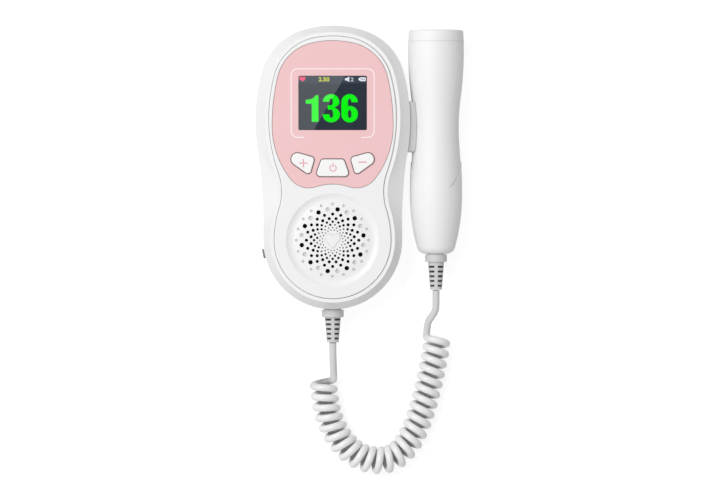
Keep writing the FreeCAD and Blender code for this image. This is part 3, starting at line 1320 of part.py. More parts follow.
def keeper_plate():
    """Steel plate inside the probe's waist that the magnet in the unit pulls on."""
    inner = S.probe_waist_radius - S.probe_wall - S.keeper_gap
    half = S.keeper_height / 2
    outer_x = -root(inner * inner - half * half)
    body = new_body("keeper_plate", S.probe_x, S.probe_waist_reach, S.probe_level)
    form = Outline(body, "keeper_form")
    form.rectangle(outer_x, S.keeper_length / -2, outer_x + S.keeper_thickness, S.keeper_length / 2)
    pad(body, form, S.keeper_height, middle=True)
    return body


def probe_screws():
    """Two screws that join the half shells from the back."""
    screws = []
    for number, y in enumerate((S.probe_screw_upper, S.probe_screw_lower)):
        body = new_body("probe_screw_%d" % number, S.probe_x, y,
                        S.probe_level + PROBE_HEAD_TOP - S.small_head)
        top = S.small_head + S.probe_screw_length
        profile = Outline(body, "probe_screw_form_%d" % number, plane="XZ")
        profile.polygon((0, 0), (S.small_head_radius, 0), (S.small_head_radius, S.small_head),
                        (S.small_screw_radius, S.small_head), (S.small_screw_radius, top), (0, top))
        turn(body, profile)
        screws.append(body)
    return group("probe_screws", screws)


# ---------------------------------------------------------------- dock

def probe_dock():
    """Saddle on the unit's side that the probe's waist lies against; two pegs stake it on."""
    body = new_body("probe_dock", S.probe_x, 0, S.probe_level)
    form = Outline(body, "dock_form", plane="YZ", level=S.upper_half_width - S.wall - S.probe_x)
    form.rounded(S.dock_low, -S.dock_half_height, S.dock_top, S.dock_half_height, S.dock_corner)
    pad(body, form, S.wall * 4)
    side = Outline(body, "dock_back", level=S.dock_half_height * 2)
    side.circle(S.upper_half_width - S.upper_radius - S.probe_x, S.upper_reach,
                S.upper_radius + S.dock_fit)
    pocket(body, side, S.dock_half_height * 4)
    middle = (S.dock_low + S.dock_top) / 2
    peg_start = S.upper_half_width - S.wall - S.peg_end - S.probe_x
    pegs = Outline(body, "dock_pegs", plane="YZ", level=peg_start)
    pegs.circle(middle - S.peg_spread, S.peg_rise, S.peg_radius)
    pegs.circle(middle + S.peg_spread, S.peg_rise, S.peg_radius)
    pad(body, pegs, S.wall + S.peg_end + S.wall / 2)
    spread = S.head_reach - S.probe_waist_reach
    narrow = S.head_radius - S.probe_waist_radius
    waist_curve = (spread * spread + narrow * narrow) / (narrow * 2) - S.head_curve
    saddle_curve = waist_curve - S.dock_clearance
    centre = (S.probe_waist_radius + waist_curve, S.probe_waist_reach)
    profile = Outline(body, "dock_saddle")
    low, top = S.dock_low - S.dock_corner, S.dock_top + S.dock_corner
    ends = []
    for y in (low, top):
        rise = y - centre[1]
        ends.append((centre[0] - root(saddle_curve * saddle_curve - rise * rise), y))
    first = math.atan2(ends[1][1].value - centre[1].value, ends[1][0].value - centre[0].value)
    last = math.atan2(ends[0][1].value - centre[1].value, ends[0][0].value - centre[0].value)
    circle = Part.Circle(point(*centre), UP, saddle_curve.value)
    arc = profile.add(Part.ArcOfCircle(circle, first, last + 2 * math.pi))
    bottom = profile.add(Part.LineSegment(point(*ends[0]), point(0, low)))
    axis = profile.add(Part.LineSegment(point(0, low), point(0, top)))
    lid = profile.add(Part.LineSegment(point(0, top), point(*ends[1])))
    profile.rule("Coincident", arc, 2, bottom, 1)
    profile.rule("Coincident", bottom, 2, axis, 1)
    profile.rule("Coincident", axis, 2, lid, 1)
    profile.rule("Coincident", lid, 2, arc, 1)
    profile.pin(arc, 3, *centre)
    profile.measure("Radius", saddle_curve, arc)
    profile.rule("Horizontal", bottom)
    profile.rule("Horizontal", lid)
    profile.pin(axis, 1, 0, low)
    profile.pin(axis, 2, 0, top)
    turn(body, profile, "Groove")
    return body


def hold_magnet():
    """Flat magnet behind the side wall, opposite the saddle."""
    x = S.upper_half_width - S.wall - S.hold_magnet_gap - S.hold_magnet_thickness
    body = new_body("hold_magnet", x, (S.dock_low + S.dock_top) / 2, S.probe_level)
    form = Outline(body, "hold_magnet_form", plane="YZ")
    form.rounded(S.hold_magnet_length / -2, S.hold_magnet_height / -2,
                 S.hold_magnet_length / 2, S.hold_magnet_height / 2, S.hold_magnet_corner)
    pad(body, form, S.hold_magnet_thickness)
    return body


# ---------------------------------------------------------------- assembly

def build():
    """Every separate piece of the product, as one list of document objects."""
    pieces = [rear_cover(), front_cover(), face_panel(), face_film(), display_lens(),
              display_glass(), display_tray(),
              push_button("plus_button", lambda grow: button_discs(-1, sized(grow)), -STEM_X, STEM_Y),
              push_button("power_button", lambda grow: power_discs(sized(grow)), 0, 0),
              push_button("minus_button", lambda grow: button_discs(1, sized(grow)), STEM_X, STEM_Y),
              tact_switches(), main_board(), earphone_jack(), speaker_frame(), speaker_cone(),
              speaker_magnet(), speaker_gasket(), battery_door(), battery_cells(),
              battery_contacts(), main_unit_screws(), board_screws(), probe_dock(), hold_magnet(),
              strain_relief("main_strain_relief", 0, UNIT_FOOT, S.parting_level, S.wall, sized(0))]
    pieces += probe_shells()
    pieces += [probe_cap(), probe_gasket(), crystals(), probe_board(), keeper_plate(),
               probe_screws(),
               strain_relief("probe_strain_relief", S.probe_x, S.probe_end, S.probe_level,
                             S.probe_wall, S.probe_relief_plain)]
    coil_corners = [(x, y, S.coil_level.value) for x, y in COIL_ROUTE]
    pieces += [cord_tube("cord_lead_main", MAIN_LEAD_ROUTE, S.cord_radius),
               cord_tube("cord_coil", coil_corners, S.coil_radius),
               cord_tube("cord_lead_probe", PROBE_LEAD_ROUTE, S.cord_radius)]
    return pieces


def write_parts(pieces):
    """Check the whole document, then write one STEP file for each piece."""
    doc.recompute()
    failed = [thing.Name for thing in doc.Objects
              if "Invalid" in thing.State or "Error" in thing.State]
    bad = [piece.Label for piece in pieces if piece.Shape.isNull() or not piece.Shape.isValid()]
    if failed or bad:
        raise SystemExit("failed objects: %s; invalid shapes: %s" % (failed, bad))
    os.makedirs("parts", exist_ok=True)
    for piece in pieces:
        piece.Shape.exportStep("parts/%s.step" % piece.Label)
        print("%-20s %2d solid(s) %10.1f mm3" % (piece.Label, len(piece.Shape.Solids),
                                                 piece.Shape.Volume))


write_parts(build())
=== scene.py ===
import math

import bmesh
import bpy
from mathutils import Matrix, Vector


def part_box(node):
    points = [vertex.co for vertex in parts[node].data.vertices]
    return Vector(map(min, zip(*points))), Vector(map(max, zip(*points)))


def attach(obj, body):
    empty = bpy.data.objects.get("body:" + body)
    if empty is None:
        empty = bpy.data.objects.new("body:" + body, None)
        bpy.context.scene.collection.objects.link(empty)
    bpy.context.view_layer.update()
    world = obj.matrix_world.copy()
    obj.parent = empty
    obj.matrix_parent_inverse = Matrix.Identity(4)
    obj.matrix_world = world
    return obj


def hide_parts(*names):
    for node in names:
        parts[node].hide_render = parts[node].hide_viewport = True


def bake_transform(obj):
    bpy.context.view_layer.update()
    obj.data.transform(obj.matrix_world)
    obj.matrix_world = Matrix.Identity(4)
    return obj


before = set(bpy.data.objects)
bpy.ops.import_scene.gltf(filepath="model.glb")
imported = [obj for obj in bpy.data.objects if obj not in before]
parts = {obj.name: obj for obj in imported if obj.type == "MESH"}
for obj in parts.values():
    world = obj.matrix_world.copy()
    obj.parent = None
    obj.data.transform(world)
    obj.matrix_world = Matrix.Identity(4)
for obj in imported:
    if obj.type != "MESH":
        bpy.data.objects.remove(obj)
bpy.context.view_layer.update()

# A size that is written with MM is in metres. The corners, centres and routes that the
# shapes are made from are in millimetres.
MM = 0.001

# ---------------------------------------------------------------- covers
# Front and rear cover are moulded in white ABS. A fine spark-eroded grain keeps them
# from looking glossy, and the flow of the plastic leaves them faintly cloudy.

FLOW_SIZE = 26 * MM
GRAIN_SIZE = 0.35 * MM
GRAIN_DEPTH = 0.004 * MM
GLOSS_SPREAD = 0.1
PLASTIC_IOR = 1.53


def paint(red, green, blue):
    """A paint-card colour, 0 to 255, as the renderer's linear light."""
    steps = [level / 255 for level in (red, green, blue)]
    light = [step / 12.92 if step <= 0.04045 else ((step + 0.055) / 1.055) ** 2.4
             for step in steps]
    return (*light, 1.0)


def grey(level):
    """A neutral paint-card colour."""
    return paint(level, level, level)


class Outlet:
    """What comes out of a shader node. Arithmetic on it adds the Math nodes."""

    def __init__(self, wiring, socket):
        self.wiring = wiring
        self.socket = socket

    def maths(self, operation, *numbers):
        """Add a Math node that works on numbers, outlets or both."""
        return self.wiring.node("Math", {"operation": operation}, dict(enumerate(numbers)))

    def __add__(self, other):
        return self.maths("ADD", self, other)

    __radd__ = __add__

    def __sub__(self, other):
        return self.maths("SUBTRACT", self, other)

    def __rsub__(self, other):
        return self.maths("SUBTRACT", other, self)

    def __mul__(self, other):
        return self.maths("MULTIPLY", self, other)

    __rmul__ = __mul__

    def __mod__(self, other):
        return self.maths("FLOORED_MODULO", self, other)

    def __gt__(self, other):
        return self.maths("GREATER_THAN", self, other)

    def __lt__(self, other):
        return self.maths("LESS_THAN", self, other)

    def __or__(self, other):
        return self.maths("MAXIMUM", self, other)

    def __abs__(self):
        return self.maths("ABSOLUTE", self)


class Wiring:
    """The shader nodes of a material, or of the room around the object."""

    def __init__(self, owner):
        owner.use_nodes = True
        self.owner = owner
        self.tree = owner.node_tree
        self.tree.nodes.clear()

    def node(self, kind, settings=None, sockets=None, outlet=0):
        """Add one node: its settings first, then the values or links of its sockets."""
        node = self.tree.nodes.new("ShaderNode" + kind)
        for name, value in (settings or {}).items():
            setattr(node, name, value)
        for name, value in (sockets or {}).items():
            if isinstance(value, Outlet):
                self.tree.links.new(value.socket, node.inputs[name])
            else:
                node.inputs[name].default_value = value
        return Outlet(self, node.outputs[outlet]) if node.outputs else None


class Finish(Wiring):
    """The surface finish of one material, written from the grain up."""

    def __init__(self, name):
        super().__init__(bpy.data.materials.new(name))
        self.place = self.node("TexCoord", outlet="Object")

    def along(self, axis):
        """How far a point lies along X, Y or Z, in metres."""
        return self.node("SeparateXYZ", {}, {0: self.place}, outlet=axis)

    def grain(self, size, detail=2.0, roughness=0.5):
        """Noise from 0 to 1 whose spots are about that many metres across."""
        return self.node("TexNoise", {}, {"Vector": self.place, "Scale": 1 / size,
                                          "Detail": detail, "Roughness": roughness})

    def tint(self, share, one, other):
        """One colour turning into another. A Mix node's colours are sockets 6, 7 and 2."""
        return self.node("Mix", {"data_type": "RGBA"}, {0: share, 6: one, 7: other}, outlet=2)

    def surface(self, sockets, relief=None, depth=0.0):
        """Close the finish: its shader, with a relief that deep where one is given."""
        if relief is not None:
            sockets["Normal"] = self.node("Bump", {}, {"Strength": 1.0, "Distance": depth,
                                                       "Height": relief})
        self.node("OutputMaterial", {},
                  {"Surface": self.node("BsdfPrincipled", {}, sockets)})
        return self.owner


def moulded(name, colour, shade, roughness, grain=GRAIN_SIZE, depth=GRAIN_DEPTH,
            recoloured=None):
    """Injection-moulded plastic: spark-eroded grain, faint flow mottling, uneven gloss.
    A function given as recoloured changes its colour from place to place."""
    finish = Finish(name)
    flow = finish.grain(FLOW_SIZE, detail=3.0)
    pits = finish.grain(grain, detail=3.0)
    skin = finish.tint(flow, colour, shade)
    if recoloured:
        skin = recoloured(finish, skin)
    return finish.surface({"Base Color": skin,
                           "Roughness": roughness - GLOSS_SPREAD / 2 + GLOSS_SPREAD * flow,
                           "IOR": PLASTIC_IOR}, relief=pits, depth=depth)


def dress(material, *names):
    """Give CAD pieces their finish."""
    for name in names:
        for slot in parts[name].material_slots:
            slot.material = material


HOUSING_WHITE = (paint(243, 243, 242), grey(239))
dress(moulded("shell_abs", *HOUSING_WHITE, 0.4), "rear_cover", "front_cover")

# ---------------------------------------------------------------- batteries
# Two AA cells in a plain printed wrap lie side by side behind a flush door. Sheet
# nickel contacts press on their ends.

WRAP_REACH = 23.9 * MM
BAND_PLACE = 14 * MM
BAND_REACH = 5 * MM
MARK_SIZE = 0.15 * MM
MARK_DEPTH = 0.002 * MM
STAIN_SPREAD = 0.12


def middle_of(node):
    """The middle of a CAD piece, in metres."""
    low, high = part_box(node)
    return (low + high) / 2


def wrapped_cell():
    """Steel can with a dark wrap that stops short of both ends and a pale band."""
    finish = Finish("cell_wrap")
    along = finish.along("Y") - middle_of("battery_cells").y
    wrap = abs(along) < WRAP_REACH
    band = abs(along - BAND_PLACE) < BAND_REACH
    scuffs = finish.grain(1.2 * MM, detail=4.0)
    coat = finish.tint(band, paint(58, 63, 70), paint(206, 208, 210))
    return finish.surface({"Base Color": finish.tint(wrap, paint(190, 188, 184), coat),
                           "Metallic": 1 - wrap, "Roughness": 0.28 + 0.12 * scuffs},
                          relief=scuffs, depth=0.003 * MM)


def metal(name, colour, roughness, brushed=MARK_SIZE):
    """Plated sheet or turned metal with fine tool marks."""
    finish = Finish(name)
    marks = finish.grain(brushed, detail=3.0)
    stains = finish.grain(4 * MM)
    return finish.surface({"Base Color": colour, "Metallic": 1.0,
                           "Roughness": roughness - STAIN_SPREAD / 2 + STAIN_SPREAD * stains},
                          relief=marks, depth=MARK_DEPTH)


dress(wrapped_cell(), "battery_cells")
nickel = metal("nickel_plate", paint(206, 203, 196), 0.3)
dress(nickel, "battery_contacts")
dress(moulded("door_abs", *HOUSING_WHITE, 0.42), "battery_door")

# ---------------------------------------------------------------- circuit board
# Green glass-fibre board with a solder mask over copper tracks. It carries the three
# tact switches and the earphone socket.

TRACK_PITCH = 1.9 * MM
TRACK_REACH = 0.3 * MM
TRACK_HEIGHT = 0.03 * MM
TRACK_PATCH = 9 * MM


def circuit_board():
    """Solder mask over tracks that run upwards in some patches and across in others."""
    finish = Finish("solder_mask")
    upright, level = (abs(finish.along(axis) % TRACK_PITCH - TRACK_PITCH / 2) < TRACK_REACH
                      for axis in "XY")
    patch = finish.grain(TRACK_PATCH) > 0.5
    tracks = patch * upright + (1 - patch) * level
    return finish.surface({"Base Color": finish.tint(tracks, paint(18, 96, 62),
                                                     paint(30, 124, 80)),
                           "Roughness": 0.32, "Coat Weight": 0.3},
                          relief=tracks, depth=TRACK_HEIGHT)


def black_plastic(name, level, roughness):
    """Moulded plastic in black or a dark grey, a touch blue."""
    colour, shade = (paint(tone, tone, tone + 1) for tone in (level, level + 6))
    return moulded(name, colour, shade, roughness)


dress(circuit_board(), "main_board", "probe_board")
dress(black_plastic("switch_black", 32, 0.45), "tact_switches")
dress(black_plastic("jack_grey", 112, 0.4), "earphone_jack")

# ---------------------------------------------------------------- loudspeaker
# A 39 mm speaker faces the grille: pressed steel basket, coated paper cone, ferrite
# magnet, and a foam ring that seals it against the panel.

FLANGE_THICKNESS = 1.05 * MM
FOAM_CELL = 0.4 * MM
STEEL_GREY = paint(168, 170, 173)


def paper_cone():
    """Black paper with its fibres."""
    finish = Finish("cone_paper")
    fibres = finish.grain(0.5 * MM, detail=5.0, roughness=0.65)
    return finish.surface({"Base Color": finish.tint(fibres, paint(9, 9, 10), grey(17)),
                           "Roughness": 0.75 + 0.2 * fibres},
                          relief=fibres, depth=0.05 * MM)


def foam_rubber():
    """Black foam with open cells."""
    finish = Finish("gasket_foam")
    cells = finish.node("TexVoronoi", {}, {"Vector": finish.place, "Scale": 1 / FOAM_CELL})
    return finish.surface({"Base Color": finish.tint(cells, grey(10), grey(20)),
                           "Roughness": 0.9}, relief=cells, depth=0.08 * MM)


def pressed_basket():
    """Pressed steel, dipped black on the flange that faces the grille."""
    finish = Finish("basket_steel")
    marks = finish.grain(MARK_SIZE, detail=3.0)
    black = finish.along("Z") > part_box("speaker_frame")[1].z - FLANGE_THICKNESS
    return finish.surface({"Base Color": finish.tint(black, STEEL_GREY, paint(14, 14, 15)),
                           "Metallic": 1 - black, "Roughness": 0.36 + 0.1 * marks},
                          relief=marks, depth=MARK_DEPTH)


dress(pressed_basket(), "speaker_frame")
dress(metal("keeper_steel", STEEL_GREY, 0.4), "keeper_plate")
dress(paper_cone(), "speaker_cone")
dress(metal("ferrite", paint(84, 84, 88), 0.55, 0.4 * MM), "speaker_magnet")
dress(foam_rubber(), "speaker_gasket")
dress(nickel, "hold_magnet")

# ---------------------------------------------------------------- display
# A small colour panel sits in a tray under a clear acrylic lens. It shows a heart
# rate in big green figures under a bar of status symbols.

PRINT_LIFT = 0.01
PICTURE_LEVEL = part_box("display_glass")[1].z / MM + PRINT_LIFT
STATUS_BAR = 42.4 * MM
STATUS_LINE = 44.5
PIXEL = 0.219 * MM
PIXEL_REACH = 0.45 * PIXEL
UNEVENNESS = 0.06
BEND_STEPS = 12
DISC_SIDES = 24
BOLDNESS = 0.035
TOUCHING = 0.001 * MM


def glowing(finish, colour, unlit):
    """Close the finish of a backlit surface that shows a colour."""
    return finish.surface({"Base Color": unlit, "Roughness": 0.3, "IOR": 1.2,
                           "Emission Color": colour, "Emission Strength": 1.0})


def lit_panel():
    """Backlit colour panel: dark blue field, a lighter status bar, a fine pixel grid."""
    finish = Finish("lit_panel")
    across, up = finish.along("X"), finish.along("Y")
    columns, rows = (abs(place % PIXEL - PIXEL / 2) > PIXEL_REACH for place in (across, up))
    field = finish.tint(up > STATUS_BAR, paint(40, 48, 60), paint(56, 65, 79))
    return glowing(finish, finish.tint((columns + rows) * UNEVENNESS, field, grey(0)),
                   paint(12, 13, 16))


def lit(name, colour):
    """One colour of the panel's picture."""
    finish = Finish(name)
    cloud = finish.grain(3 * MM)
    return glowing(finish, finish.tint(cloud * UNEVENNESS, colour, grey(0)), grey(8))


def placed(name, shape, material):
    """Put a bmesh into the scene as an object of one material."""
    mesh = bpy.data.meshes.new(name)
    shape.to_mesh(mesh)
    shape.free()
    mesh.materials.append(material)
    thing = bpy.data.objects.new(name, mesh)
    bpy.context.scene.collection.objects.link(thing)
    return thing


def piece(name, shape, material, body="main_unit"):
    """Finish a bmesh as an object that rides on a CAD body."""
    thing = placed(name, shape, material)
    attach(thing, body)


def merged(*shapes):
    """Several flat bmeshes as one, with every face upwards."""
    whole = bmesh.new()
    for shape in shapes:
        mesh = bpy.data.meshes.new("part")
        shape.to_mesh(mesh)
        shape.free()
        whole.from_mesh(mesh)
        bpy.data.meshes.remove(mesh)
    bmesh.ops.remove_doubles(whole, verts=whole.verts, dist=TOUCHING)
    whole.normal_update()
    bmesh.ops.reverse_faces(whole, faces=[face for face in whole.faces if face.normal.z < 0])
    return whole


def plate(x, y, z, width, height, corner=0.0, steps=4):
    """A flat rectangle in millimetres, its corners rounded."""
    shape = bmesh.new()
    bmesh.ops.create_grid(shape, x_segments=1, y_segments=1, size=0.5,
                          matrix=Matrix.Translation(Vector((x, y, z)) * MM)
                          @ Matrix.Diagonal((width * MM, height * MM, 1, 1)))
    if corner:
        bmesh.ops.bevel(shape, geom=shape.verts[:], offset=corner * MM, segments=steps,
                        profile=0.5, affect="VERTICES", material=-1)
    return shape


def cutout(z, *corners):
    """A flat shape in millimetres with straight sides."""
    shape = bmesh.new()
    shape.faces.new([shape.verts.new(Vector((x, y, z)) * MM) for x, y in corners])
    return shape


def disc(x, y, z, radius):
    """A flat disc in millimetres."""
    shape = bmesh.new()
    bmesh.ops.create_circle(shape, cap_ends=True, segments=DISC_SIDES, radius=radius * MM,
                            matrix=Matrix.Translation(Vector((x, y, z)) * MM))
    return shape


def heavy_figure(*bends):
    """A digit as a flat ribbon. Each bend turns about its centre between an outer and an
    inner ellipse, given by half their width and height, from one angle to another."""
    shape = bmesh.new()
    rail = None
    for x, y, outer, inner, first, last in bends:
        for step in range(BEND_STEPS + 1):
            angle = math.radians(first + (last - first) * step / BEND_STEPS)
            ends = [shape.verts.new(Vector((x + across * math.cos(angle),
                                            y + up * math.sin(angle), PICTURE_LEVEL)) * MM)
                    for across, up in (outer, inner)]
            if rail:
                shape.faces.new((*rail, *reversed(ends)))
            rail = ends
    return shape


def thin_figures(words, x, y, width, height):
    """Small flat digits, fitted to a centre and a size in millimetres."""
    writing = bpy.data.curves.new(words, "FONT")
    writing.body = words
    writing.offset = BOLDNESS
    holder = bpy.data.objects.new(words, writing)
    bpy.context.scene.collection.objects.link(holder)
    bpy.context.view_layer.update()
    flat = bpy.data.meshes.new_from_object(holder.evaluated_get(
        bpy.context.evaluated_depsgraph_get()))
    bpy.data.objects.remove(holder)
    shape = bmesh.new()
    shape.from_mesh(flat)
    left, low = (min(vertex.co[axis] for vertex in shape.verts) for axis in (0, 1))
    right, high = (max(vertex.co[axis] for vertex in shape.verts) for axis in (0, 1))
    middle = Vector(((left + right) / 2, (low + high) / 2, 0))
    bmesh.ops.translate(shape, verts=shape.verts, vec=-middle)
    bmesh.ops.scale(shape, verts=shape.verts,
                    vec=(width * MM / (right - left), height * MM / (high - low), 1))
    bmesh.ops.translate(shape, verts=shape.verts, vec=Vector((x, y, PICTURE_LEVEL)) * MM)
    return shape


dress(lit_panel(), "display_glass")
dress(moulded("tray_nylon", paint(226, 226, 224), paint(220, 220, 218), 0.5), "display_tray")

one = cutout(PICTURE_LEVEL, (-10.6, 22.95), (-7.2, 22.95), (-7.2, 36.4), (-8.7, 36.4),
             (-9.3, 35.4), (-10.3, 34.7), (-11.6, 34.3), (-13.6, 34.1), (-13.6, 32.1),
             (-10.6, 32.1))
three = [heavy_figure((-0.8, 33.1, (4.15, 3.9), (0.9, 1.8), 180, 0),
                      (-0.8, 33.1, (4.15, 3.15), (0.9, 1.8), 0, -90),
                      (-2.5, 33.1, (0, 3.15), (0, 1.8), -90, -90)),
         heavy_figure((-2.5, 26.75, (0, 3.6), (0, 2.4), 90, 90),
                      (-0.7, 26.75, (4.35, 3.6), (0.95, 2.4), 90, 0),
                      (-0.7, 26.75, (4.35, 4.1), (0.95, 1.9), 0, -180))]
six = heavy_figure((8.6, 32.9, (4.15, 4.1), (0.9, 1.8), 0, 180),
                   (8.6, 26.7, (4.15, 4.1), (0.9, 1.9), 180, 360),
                   (8.6, 27.3, (4.15, 3.7), (0.9, 1.75), 0, 180))
piece("rate_figures", merged(one, *three, six), lit("green_light", paint(0, 255, 8)))

heart = [disc(-16.05, 45.0, PICTURE_LEVEL, 0.85), disc(-14.55, 45.0, PICTURE_LEVEL, 0.85),
         cutout(PICTURE_LEVEL, (-16.8, 44.6), (-15.3, 43.3), (-13.8, 44.6), (-15.3, 45.3))]
piece("heart_symbol", merged(*heart), lit("rose_light", paint(250, 84, 128)))
piece("clock_figures", merged(thin_figures("2.50", -4.4, STATUS_LINE, 5.6, 2.2)),
      lit("yellow_light", paint(214, 216, 60)))
piece("volume_figure", merged(thin_figures("2", 9.85, 44.45, 1.5, 2.1)),
      lit("grey_light", paint(196, 201, 210)))

sound = cutout(PICTURE_LEVEL, (6.2, 43.9), (7.1, 43.9), (8.4, 43.1), (8.4, 45.9), (7.1, 45.1),
               (6.2, 45.1))
battery = [plate(15.25, STATUS_LINE, PICTURE_LEVEL, 3.1, 2.0, 0.4),
           plate(13.45, STATUS_LINE, PICTURE_LEVEL, 0.6, 1.2, 0.2)]
bars = [plate(x, STATUS_LINE, PICTURE_LEVEL + PRINT_LIFT, 0.3, 1.0) for x in (14.4, 15.2, 16.0)]
piece("status_symbols", merged(sound, *battery), lit("white_light", paint(246, 248, 252)))
piece("charge_bars", merged(*bars), lit("dim_light", paint(90, 100, 116)))

# ---------------------------------------------------------------- lens
# The window over the display is clear acrylic, polished on both faces. Only faint
# smears are left on it.


def clear_acrylic():
    """Polished acrylic."""
    finish = Finish("clear_acrylic")
    smears = finish.grain(7 * MM, detail=4.0)
    return finish.surface({"Base Color": paint(250, 252, 253), "Transmission Weight": 1.0,
                           "IOR": 1.45, "Roughness": 0.006 * smears})


dress(clear_acrylic(), "display_lens")

# ---------------------------------------------------------------- face
# The raised hourglass panel is satin white ABS. A pink printed film lies flush in
# it round the display and the buttons, with a thin white frame printed on it. Dark
# lines of painted shade lie in the thin gaps round the film and the buttons and round
# the foot of the embossed heart, and painted shade greys the blind holes and the deep
# sides of the panel.

PANEL_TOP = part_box("face_panel")[1].z
DEEP_LEVEL = PANEL_TOP - 1.08 * MM
HEART_LEVEL = PANEL_TOP - 0.05 * MM
DOTS_REACH = 8.6 * MM
BUTTONS = {"plus_gap_shade": (-14.8, 2.0), "power_gap_shade": (0.0, -0.5), "minus_gap_shade": (14.8, 2.0)}
FILM_SHADE_WIDTH = 0.24 * MM
BUTTON_SHADE_WIDTH = 0.42 * MM
HEART_SHADE_WIDTH = 0.3 * MM
FLATNESS = 0.03 * MM
FACING_UP = 0.9
LINE_ROUNDNESS = 2
FRAME_CENTRE = (0.0, 32.4)
FRAME_SIZE = (42.5, 35.2)
FRAME_CORNER = 3.5
FRAME_WIDTH = 0.5 * MM
FRAME_GAP = (-14.4 * MM, 14.6 * MM)
FRAME_GAP_TOP = 20 * MM


def painted_depth_shade(finish, skin):
    """Painted shade: greyer plastic where the blind holes and the panel's sides lie deep."""
    across, up = finish.along("X"), finish.along("Y") - middle_of("speaker_frame").y
    dots = across * across + up * up < DOTS_REACH ** 2
    # Painted shade in the deep places: mid grey in the small dots near the heart, light grey
    # elsewhere.
    deep = finish.tint(dots, grey(217), grey(140))
    return finish.tint(finish.along("Z") < DEEP_LEVEL, skin, deep)


def printed_film():
    """Reverse-printed polycarbonate film, faintly uneven in its pink."""
    finish = Finish("printed_film")
    cloud = finish.grain(34 * MM)
    peel = finish.grain(0.6 * MM)
    return finish.surface({"Base Color": finish.tint(cloud, paint(240, 197, 198),
                                                     paint(236, 191, 193)),
                           "Roughness": 0.34 + 0.06 * cloud, "Coat Weight": 0.15},
                          relief=peel, depth=0.003 * MM)


def top_edge(node, near, inset, level=None):
    """The loop round a flat CAD face that passes nearest a place. The place and the depth
    at which the loop lies are in millimetres, the level of the face and the loop in metres."""
    shape = bmesh.new()
    shape.from_mesh(parts[node].data)
    bmesh.ops.remove_doubles(shape, verts=shape.verts, dist=TOUCHING)
    shape.normal_update()
    top = level or max(vertex.co.z for vertex in shape.verts)
    others = [face for face in shape.faces if face.normal.z < FACING_UP
              or abs(face.calc_center_median().z - top) > FLATNESS]
    bmesh.ops.delete(shape, context="FACES", geom=others)
    place = Vector((*near, top / MM)) * MM
    start = min((vertex for vertex in shape.verts if vertex.is_boundary),
                key=lambda vertex: (vertex.co - place).length)
    loop, edge, here = [], None, start
    while not loop or here is not start:
        loop.append(here.co - Vector((0, 0, inset * MM)))
        edge = next(other for other in here.link_edges
                    if other.is_boundary and other is not edge)
        here = edge.other_vert(here)
    shape.free()
    return loop


def thread(name, points, thickness, material, body="main_unit", closed=True, fade=0.0):
    """A thin round line through points, such as the line of painted shade in the gap round a film.
    Its curve still holds the name when the line is made, so the line's own name ends in .001."""
    curve = bpy.data.curves.new(name, "CURVE")
    curve.dimensions = "3D"
    curve.bevel_depth = thickness / 2
    curve.bevel_resolution = LINE_ROUNDNESS
    curve.use_fill_caps = True
    spline = curve.splines.new("POLY")
    spline.points.add(len(points) - 1)
    for number, (knot, spot) in enumerate(zip(spline.points, points)):
        knot.co = (*spot, 1.0)
        knot.radius = 1 - fade * number / len(points)
    spline.use_cyclic_u = closed
    drawn = bpy.data.objects.new(name, curve)
    line = bpy.data.objects.new(name, bpy.data.meshes.new_from_object(drawn))
    bpy.data.objects.remove(drawn)
    line.data.materials.clear()
    line.data.materials.append(material)
    bpy.context.scene.collection.objects.link(line)
    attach(line, body)


dress(moulded("panel_abs", grey(241), grey(237), 0.36, recoloured=painted_depth_shade), "face_panel")
dress(printed_film(), "face_film")

# Painted shade: dark lines laid in the gaps round the film and the buttons, and round the foot of
# the heart.
gap_shade = moulded("gap_shade", paint(136, 110, 112), paint(126, 102, 104), 0.6)
heart_shade = moulded("heart_shade", grey(196), grey(190), 0.6)
thread("film_gap_shade", top_edge("face_film", (-80, 30), inset=0.08), FILM_SHADE_WIDTH, gap_shade)
for name, near in BUTTONS.items():
    thread(name, top_edge("face_film", near, inset=0.1), BUTTON_SHADE_WIDTH, gap_shade)
# Painted shade: a grey line round the foot of the embossed heart.
thread("heart_foot_shade", top_edge("face_panel", (-5, -37), inset=0.22, level=HEART_LEVEL), HEART_SHADE_WIDTH,
       heart_shade)

frame_line = plate(*FRAME_CENTRE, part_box("face_film")[1].z / MM + PRINT_LIFT, *FRAME_SIZE,
                   FRAME_CORNER, steps=8)
bmesh.ops.inset_individual(frame_line, faces=frame_line.faces[:], thickness=FRAME_WIDTH)
inside = max(frame_line.faces, key=lambda face: face.calc_area())
bmesh.ops.delete(frame_line, geom=[inside], context="FACES")
for x in FRAME_GAP:
    bmesh.ops.bisect_plane(frame_line, plane_co=(x, 0, 0), plane_no=(1, 0, 0),
                           geom=frame_line.verts[:] + frame_line.edges[:] + frame_line.faces[:])
middles = {face: face.calc_center_median() for face in frame_line.faces}
bmesh.ops.delete(frame_line, context="FACES",
                 geom=[face for face, middle in middles.items()
                       if middle.y < FRAME_GAP_TOP and FRAME_GAP[0] < middle.x < FRAME_GAP[1]])
piece("frame_line", frame_line,
      moulded("white_ink", paint(255, 243, 244), paint(254, 238, 240), 0.35))

# ---------------------------------------------------------------- buttons
# Three caps share one height, just proud of the film. Their pink symbols are pad
# printed on the flat tops.

RING_CENTRE = (0.2, -0.45)
RING_REACH = (1.33, 1.88)
RING_START = math.radians(118)
RING_TURN = math.radians(304)
RING_STEPS = 40


def cross(x, y, z, reach, half):
    """A flat cross in millimetres, given by the reach and the half width of its arms."""
    quarter = [(half, half), (half, reach), (-half, reach)]
    corners = []
    for _ in range(4):
        corners += [(x + across, y + up) for across, up in quarter]
        quarter = [(-up, across) for across, up in quarter]
    return cutout(z, *corners)


